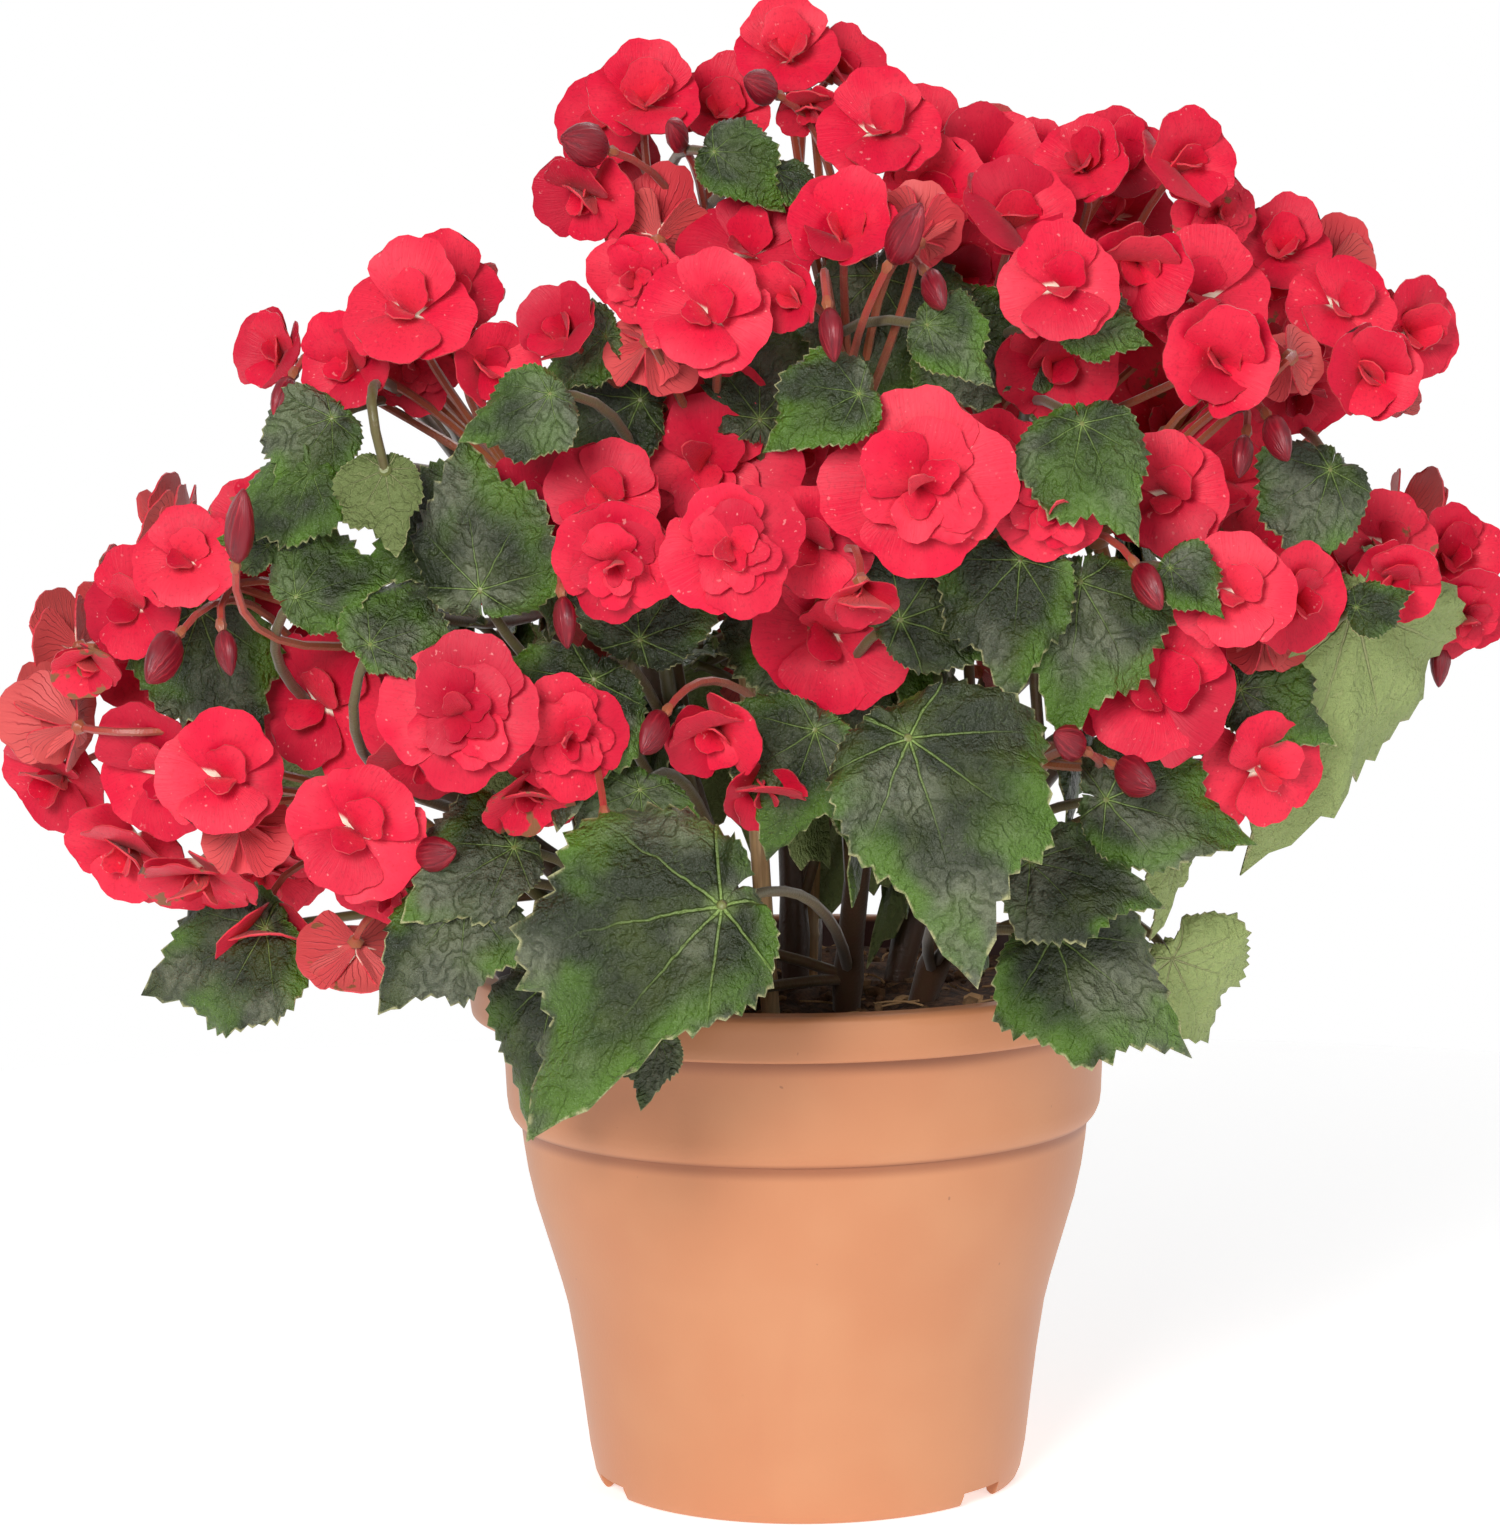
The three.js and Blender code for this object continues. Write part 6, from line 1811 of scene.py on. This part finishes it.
class Foliage:
    """Builds the leafy stems: canes, branches to the sprays, leaf stalks and leaves."""

    cane_radii = (4.7, 3.0)
    branch_radii = (2.5, 1.95)
    leaf_stalk_radii = (1.7, 1.3)
    young_long = (22.0, 36.0)
    small_leaf = 34.0
    joints = (3, 6)
    swelling = 1.18

    def __init__(self, layout: Layout) -> None:
        """Models the leaf's sheet once and mixes the finishes."""
        self.layout = layout
        self.form = LeafForm()
        self.sheet = Sheet(96, 8)
        self.small_sheet = Sheet(40, 4)
        # Painted shade: the canes and leaf stalks take the stalk finish in darker colours, their own
        # reddish brown darkened further to stand in for the shade inside the plant.
        bark = StalkFinish(red="5A201E", green="748442", brown="3A2019")
        self.materials = (LeafFinish().material(), bark.material())

    def build(self) -> None:
        """Builds every leafy stem."""
        for c in range(len(CANES)):
            skin = Skin()
            self._cane(skin, c)
            for spray in (s for s in self.layout.sprays if s.cane == c):
                self._branch(skin, spray)
            for leaf in (item for item in self.layout.leaves if item.cane == c):
                self._leaf(skin, leaf)
            piece = skin.piece(f"leafy_stem_{c + 1}_foliage", self.materials)
            declare(piece, "foliage", f"leafy_stem_{c + 1}")

    def _cane(self, skin: Skin, c: int) -> None:
        """Adds a cane with a slight swelling at each joint."""
        curve = self.layout.curves[c]
        count = 25
        points = [curve.at(k / (count - 1)) for k in range(count)]
        radii = taper(*self.cane_radii, count)
        radii = [r * (1.14 if k % 6 == 3 else 0.97) for k, r in enumerate(radii)]
        skin.tube(points, radii, 12, (0.25, 0.5), 0.8, 1)

    def _branch(self, skin: Skin, spray: Spray) -> None:
        """Adds the branch that carries a spray."""
        stop = spray.fork - spray.way * PEDUNCLE
        over = stop - spray.way * (0.5 * (stop - spray.start).length)
        points = bend(spray.start, over, stop, 10)
        radii = taper(*self.branch_radii, 11)
        radii = [r * (self.swelling if k in self.joints else 1) for k, r in enumerate(radii)]
        skin.tube(points, radii, 8, (0.5, 0.85), 0.5, 1)
        draw = Draw(900 + round(spray.start.z * 7 + stop.x))
        for k in self.joints:
            self._young_leaf(skin, points[k], draw)

    def _young_leaf(self, skin: Skin, joint: Vector, draw: Draw) -> None:
        """Adds a small leaf at a joint of a branch, turned to one side of the plant."""
        side = math.copysign(1, joint.x + draw(-30, 30))
        n = Vector((side, draw(-0.4, 0.4), draw(0.1, 0.6))).normalized()
        direction = Vector((0.2 * side, draw(-1, 1), draw(-0.9, 0.1)))
        axes = Axes.towards(n, direction)
        leaf = Leaf(joint + n * 1.6, n, direction, draw(*self.young_long), 0, 0)
        leaf.seed = int(draw(0, 9000))
        places, grain, edge = self.form.places(self.small_sheet, leaf, axes)
        tone = np.full(len(places), draw(0.3, 1))
        tint = np.stack([tone, self.small_sheet.side < 0, edge], 1).astype(float)
        skin.add(places, self.small_sheet.faces, grain, tint, 0)

    def _leaf(self, skin: Skin, leaf: Leaf) -> None:
        """Adds a leaf on its stalk."""
        axes = Axes.towards(leaf.n, leaf.direction)
        start = self.layout.curves[leaf.cane].above_soil(leaf.share)
        stop = leaf.at - axes.n * 0.3
        far = (stop - start).length
        over = stop - axes.n * (0.3 * far) - axes.u * (0.25 * far)
        points = bend(start, over, stop, 9)
        skin.tube(points, taper(*self.leaf_stalk_radii, 10), 7, (0.3, 0.7), 0.35, 1)
        cap = [leaf.at + axes.n * h for h in (-1.6, -0.4, 0.25)]
        skin.tube(cap, [1.3, 1.9, 0.8], 7, (1.0, 1.0), 0.0, 1)
        places, grain, edge = self.form.places(self.sheet, leaf, axes)
        ages = (0.75, 1) if leaf.long < self.small_leaf else (0.3, 0.7)
        age = Draw(leaf.seed + 5)(*ages)
        tone = np.full(len(places), 0.0 if leaf.underside else age)
        back = (self.sheet.side > 0) if leaf.underside else (self.sheet.side < 0)
        tint = np.stack([tone, back, edge], 1).astype(float)
        skin.add(places, self.sheet.faces, grain, tint, 0)


# Pot, soil and sticks


def arc(r: float, z: float, size: float, first: float, last: float, steps: int) -> list:
    """Gives the points of a quarter or more of a circle in the pot's profile.

    Args:
        r: the circle's centre from the pot's axis.
        z: the circle's height.
        size: its radius.
        first: the angle it starts at, in degrees from outwards.
        last: the angle it ends at.
        steps: the number of its faces.

    Returns:
        The points, as distances from the axis and heights.
    """
    angles = [math.radians(first + (last - first) * k / steps) for k in range(steps + 1)]
    return [(r + size * math.cos(a), z + size * math.sin(a)) for a in angles]


class Pot:
    """The plastic pot: one turned wall with a rolled lip, drain holes and a notched foot ring."""

    steps = 128
    notch_turn = -37.0
    notch = (9.0, 17.0, 8.0)
    hole_radius = 5.0
    hole_ring = 38.0
    notch_ring = 59.0
    crease = math.radians(38)

    def profile(self) -> list[tuple[float, float]]:
        """Gives the wall's outline from the underside's middle round the lip to the floor."""
        outer = [(0, 5), (55.6, 5), (56.8, 4.2), (57.3, 1.0)]
        outer += arc(59, 1.4, 1.4, 230, 330, 4)
        outer += [(61.3, 3.2), (62.7, 10.5), (64.3, 23.5), (66.1, 37.5), (68.4, 51.5)]
        outer += [(70.2, 58.5), (72.4, 66), (74.8, 74), (77.2, 82), (79.2, 91), (80.4, 99)]
        outer += [(80.9, 103.6), (81.3, 104.9), (82.3, 105.1), (83.5, 106.6), (84.5, 109), (84.9, 112)]
        outer += [(85.9, 134.6), (86.4, 135.5), (93.2, 135.9)]
        outer += arc(93.2, 137.3, 1.4, 270, 350, 4)
        outer += [(94.9, 139.6), (94.8, 144.5)]
        outer += arc(92.6, 146.2, 2.6, 20, 100, 6)
        outer += [(90, 149.2), (88.2, 148.6), (87.2, 147.2), (86.6, 143), (82.4, 110.5)]
        return outer + [(78.2, 103), (66, 51), (61.5, 12), (60, 8.4), (58.5, 8), (0, 8)]

    def build(self) -> None:
        """Spins the wall, then cuts the notches and the drain holes."""
        deselect()
        mesh = bpy.data.meshes.new("pot_wall")
        rows = self.profile()
        places = [(r * MM, 0, z * MM) for r, z in rows]
        edges = [(k, k + 1) for k in range(len(rows) - 1)]
        mesh.from_pydata(places, edges, [])
        wall = bpy.data.objects.new("pot_wall", mesh)
        bpy.context.scene.collection.objects.link(wall)
        bpy.context.view_layer.objects.active = wall
        wall.select_set(True)
        bpy.ops.object.mode_set(mode="EDIT")
        bpy.ops.mesh.select_all(action="SELECT")
        bpy.ops.mesh.spin(steps=self.steps, angle=TURN, center=(0, 0, 0), axis=(0, 0, 1))
        bpy.ops.mesh.select_all(action="SELECT")
        bpy.ops.mesh.remove_doubles(threshold=0.00002)
        bpy.ops.mesh.normals_make_consistent(inside=False)
        bpy.ops.object.mode_set(mode="OBJECT")
        for k in range(3):
            self._cut(wall, "cube", self.notch_ring, math.radians(self.notch_turn + 120 * k), 0.0)
            self._cut(wall, "cylinder", self.hole_ring, 0.35 + TURN * k / 3, 6.0)
        wall.data.transform(Matrix.Translation(Vector(POT_AXIS) * MM))
        bpy.ops.object.select_all(action="DESELECT")
        wall.select_set(True)
        bpy.context.view_layer.objects.active = wall
        bpy.ops.object.shade_smooth_by_angle(angle=self.crease)
        wall.data.materials.clear()
        wall.data.materials.append(PotFinish().material())
        declare(wall, "pot_plastic", "pot")

    def _cut(self, wall: bpy.types.Object, form: str, ring: float, turn: float, z: float) -> None:
        """Cuts a notch or a hole.

        Args:
            wall: the pot's wall.
            form: cube for a notch, cylinder for a drain hole.
            ring: its distance from the pot's axis in mm.
            turn: its direction in radians.
            z: its height in mm.
        """
        place = (ring * math.cos(turn) * MM, ring * math.sin(turn) * MM, z * MM)
        deselect()
        if form == "cube":
            bpy.ops.mesh.primitive_cube_add(size=1, location=place, rotation=(0, 0, turn))
            bpy.context.active_object.scale = [side * MM for side in self.notch]
        else:
            radius = self.hole_radius * MM
            bpy.ops.mesh.primitive_cylinder_add(vertices=24, radius=radius, depth=0.02, location=place)
        tool = bpy.context.active_object
        cut = wall.modifiers.new("cut", "BOOLEAN")
        cut.operation = "DIFFERENCE"
        cut.object = tool
        bpy.context.view_layer.objects.active = wall
        bpy.ops.object.modifier_apply(modifier=cut.name)
        bpy.data.objects.remove(tool)


class Soil:
    """The potting soil: a body that fills the pot, its lumpy top, crumbs and rootlets."""

    wall = ((59.2, 8.5), (64.8, 51), (77, 103), (81.4, 111), (84.6, 137))
    crumbs = 220
    rootlets = 60
    spread = 80.0
    reach = 81.0
    seed = 11

    def build(self) -> None:
        """Builds the soil as one piece."""
        draw = Draw(self.seed)
        skin = Skin()
        sides = 72
        rings = [(r, z, 0.0) for r, z in self.wall]
        rings += [(r, SOIL_TOP, 1.0) for r in (82, 78, 72, 65, 57, 48, 39, 30, 21, 12, 5)]
        places = []
        for radius, z, rough in rings:
            for k in range(sides):
                turn = k / sides * TURN
                lump = rough * (draw(-0.8, 0.8) + 1.4 * math.sin(3 * turn + radius * 0.21))
                places.append((radius * math.cos(turn), radius * math.sin(turn), z + lump))
        faces = []
        for i in range(len(rings) - 1):
            for k in range(sides):
                a, b = i * sides + k, i * sides + (k + 1) % sides
                faces.append((a, b, b + sides, a + sides))
        faces.append(tuple(reversed(range(sides))))
        last = (len(rings) - 1) * sides
        faces.append(tuple(last + k for k in range(sides)))
        count = len(places)
        skin.add(np.array(places), faces, np.zeros((count, 2)), np.zeros((count, 3)), 0)
        self._crumbs(skin, draw)
        for _ in range(self.rootlets):
            self._rootlet(skin, draw)
        piece = skin.piece("soil_fill", (SoilFinish().material(),))
        declare(piece, "potting_soil", "soil")

    def _spot(self, draw: Draw, lift: float) -> Vector:
        """Gives a random place on the soil's top."""
        turn, radius = draw(0, TURN), self.spread * math.sqrt(draw(0.02, 1))
        return Vector((radius * math.cos(turn), radius * math.sin(turn), SOIL_TOP + lift))

    def _crumbs(self, skin: Skin, draw: Draw) -> None:
        """Scatters crumbs of peat and bark, modelled once and squashed in code."""
        deselect()
        bpy.ops.mesh.primitive_ico_sphere_add(subdivisions=1, radius=1)
        ball = bpy.context.active_object
        points = np.array([v.co for v in ball.data.vertices])
        faces = [tuple(face.vertices) for face in ball.data.polygons]
        bpy.data.objects.remove(ball)
        for _ in range(self.crumbs):
            spot = self._spot(draw, 0.8)
            size = draw(0.9, 2.8)
            squash = np.array([draw(0.7, 1.4), draw(0.6, 1.2), draw(0.5, 0.9)]) * size
            jitter = np.array([[draw(0.8, 1.2)] for _ in points])
            age = draw(0, 1) ** 3
            tint = np.zeros((len(points), 3))
            tint[:, 2] = age
            places = points * squash * jitter + np.array(spot)
            skin.add(places, faces, np.zeros((len(points), 2)), tint, 0)

    def _rootlet(self, skin: Skin, draw: Draw) -> None:
        """Adds a thin tan rootlet that lies on the soil."""
        start = self._spot(draw, 1.5)
        turn, long = draw(0, TURN), draw(7, 20)
        stop = start + Vector((math.cos(turn) * long, math.sin(turn) * long, draw(-0.8, 0.8)))
        if math.hypot(stop.x, stop.y) > self.reach:
            stop = start.lerp(Vector((0, 0, SOIL_TOP + 1.5)), 0.25)
        over = start.lerp(stop, 0.5) + Vector((draw(-4, 4), draw(-4, 4), draw(0.5, 2)))
        skin.tube(bend(start, over, stop, 5), [0.35] * 6, 4, (0.5, 0.5), 0.8, 0)


class Sticks:
    """The bamboo sticks that hold the stems up."""

    sticks = (
        ((-5, -34, 60), (-16, -50, 262), 2.6),
        ((-40, 30, 60), (-66, 40, 286), 2.5),
        ((-1, 20, 60), (8, 26, 296), 2.4),
    )
    joint_gap = 78.0
    crease = math.radians(50)

    def build(self) -> None:
        """Builds each stick, with a raised joint every few centimetres."""
        material = BambooFinish().material()
        for k, (foot, tip, radius) in enumerate(self.sticks):
            low, high = Vector(foot), Vector(tip)
            long = (high - low).length
            places = {0.0, 0.6 / long, 1 - 0.6 / long, 1.0}
            joints = [(j + 0.45 * k + 0.3) * self.joint_gap for j in range(3)]
            for joint in (j for j in joints if 4 < j < long - 4):
                places.update({(joint + d) / long for d in (-2, -0.7, 0, 0.7, 2)})
            points, radii = [], []
            for share in sorted(places):
                near = min((abs(share * long - joint) for joint in joints), default=9)
                swell = 1 + 0.13 * math.exp(-((near / 0.9) ** 2))
                end = 0.82 if share in (0.0, 1.0) else 1.0
                points.append(low.lerp(high, share))
                radii.append(radius * swell * end)
            skin = Skin()
            skin.tube(points, radii, 16, (0.5, 0.5), 0.0, 0)
            piece = skin.piece(f"bamboo_stick_{k + 1}", (material,))
            bpy.ops.object.shade_smooth_by_angle(angle=self.crease)
            declare(piece, "bamboo", f"stake_{k + 1}")


# Studio


class Studio:
    """A pale floor, soft light and the camera at the picture's viewing angle."""

    film = 36.0
    ambient = 0.2
    floor_radius = 0.75

    def camera(self) -> None:
        """Makes the camera."""
        data = bpy.data.cameras.new("camera")
        data.sensor_width = self.film
        data.lens = EYE.focal / EYE.picture_height * self.film
        data.clip_end = 20
        made = bpy.data.objects.new("camera", data)
        bpy.context.scene.collection.objects.link(made)
        place = (Vector((EYE.sideways, -EYE.distance, EYE.height)) + Vector(POT_AXIS)) * MM
        tilt = Matrix.Rotation(math.pi / 2 - EYE.pitch, 4, "X")
        made.matrix_world = Matrix.Translation(place) @ tilt @ Matrix.Rotation(EYE.roll, 4, "Z")
        bpy.context.scene.camera = made

    def lamp(self, name: str, place: Triple, aim: Triple, size: float, power: float) -> None:
        """Makes one soft lamp.

        Args:
            name: its name.
            place: where it stands, in metres.
            aim: where it points.
            size: its width in metres.
            power: its power in watts.
        """
        data = bpy.data.lights.new(name, "AREA")
        data.energy = power
        data.size = size
        made = bpy.data.objects.new(name, data)
        bpy.context.scene.collection.objects.link(made)
        way = Vector(aim) - Vector(place)
        turn = way.to_track_quat("-Z", "Y").to_matrix().to_4x4()
        made.matrix_world = Matrix.Translation(Vector(place)) @ turn

    def build(self) -> None:
        """Makes the floor, the white surroundings and the lamps."""
        deselect()
        bpy.ops.mesh.primitive_circle_add(
            vertices=96, radius=self.floor_radius, fill_type="NGON", location=(0, 0, -0.0002)
        )
        floor = bpy.context.active_object
        floor.name = "floor"
        paint = Paint("pale floor", 0.95, Specular_IOR_Level=0.1, Emission_Color=(1, 1, 1, 1))
        paint.shader.inputs["Emission Strength"].default_value = 0.55
        paint.finish("F4F4F4")
        floor.data.materials.append(paint.material)
        world = bpy.data.worlds.new("white room")
        world.use_nodes = True
        sky = world.node_tree.nodes["Background"]
        sky.inputs["Color"].default_value = (1, 1, 1, 1)
        seen = world.node_tree.nodes.new("ShaderNodeLightPath")
        power = world.node_tree.nodes.new("ShaderNodeMapRange")
        power.inputs["To Min"].default_value = 1.0
        power.inputs["To Max"].default_value = self.ambient
        world.node_tree.links.new(seen.outputs["Is Diffuse Ray"], power.inputs["Value"])
        world.node_tree.links.new(power.outputs["Result"], sky.inputs["Strength"])
        bpy.context.scene.world = world
        bpy.context.scene.view_settings.view_transform = "Standard"
        centre = (0.0, 0.0, 0.25)
        self.lamp("key", (-0.5, -1.7, 0.85), centre, 0.6, 29)
        self.lamp("fill", (1.3, -1.4, 0.6), centre, 0.9, 9)
        self.lamp("rim", (0.4, 1.5, 1.5), centre, 0.9, 9)


def main() -> None:
    """Builds the plant, its pot and the studio, and reports each piece."""
    logging.basicConfig(level=logging.INFO, format="%(message)s")
    studio = Studio()
    studio.camera()
    studio.build()
    layout = Layout()
    Pot().build()
    Soil().build()
    Sticks().build()
    Foliage(layout).build()
    Flowers(layout).build()
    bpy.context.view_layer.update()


if __name__ == "__main__":
    main()
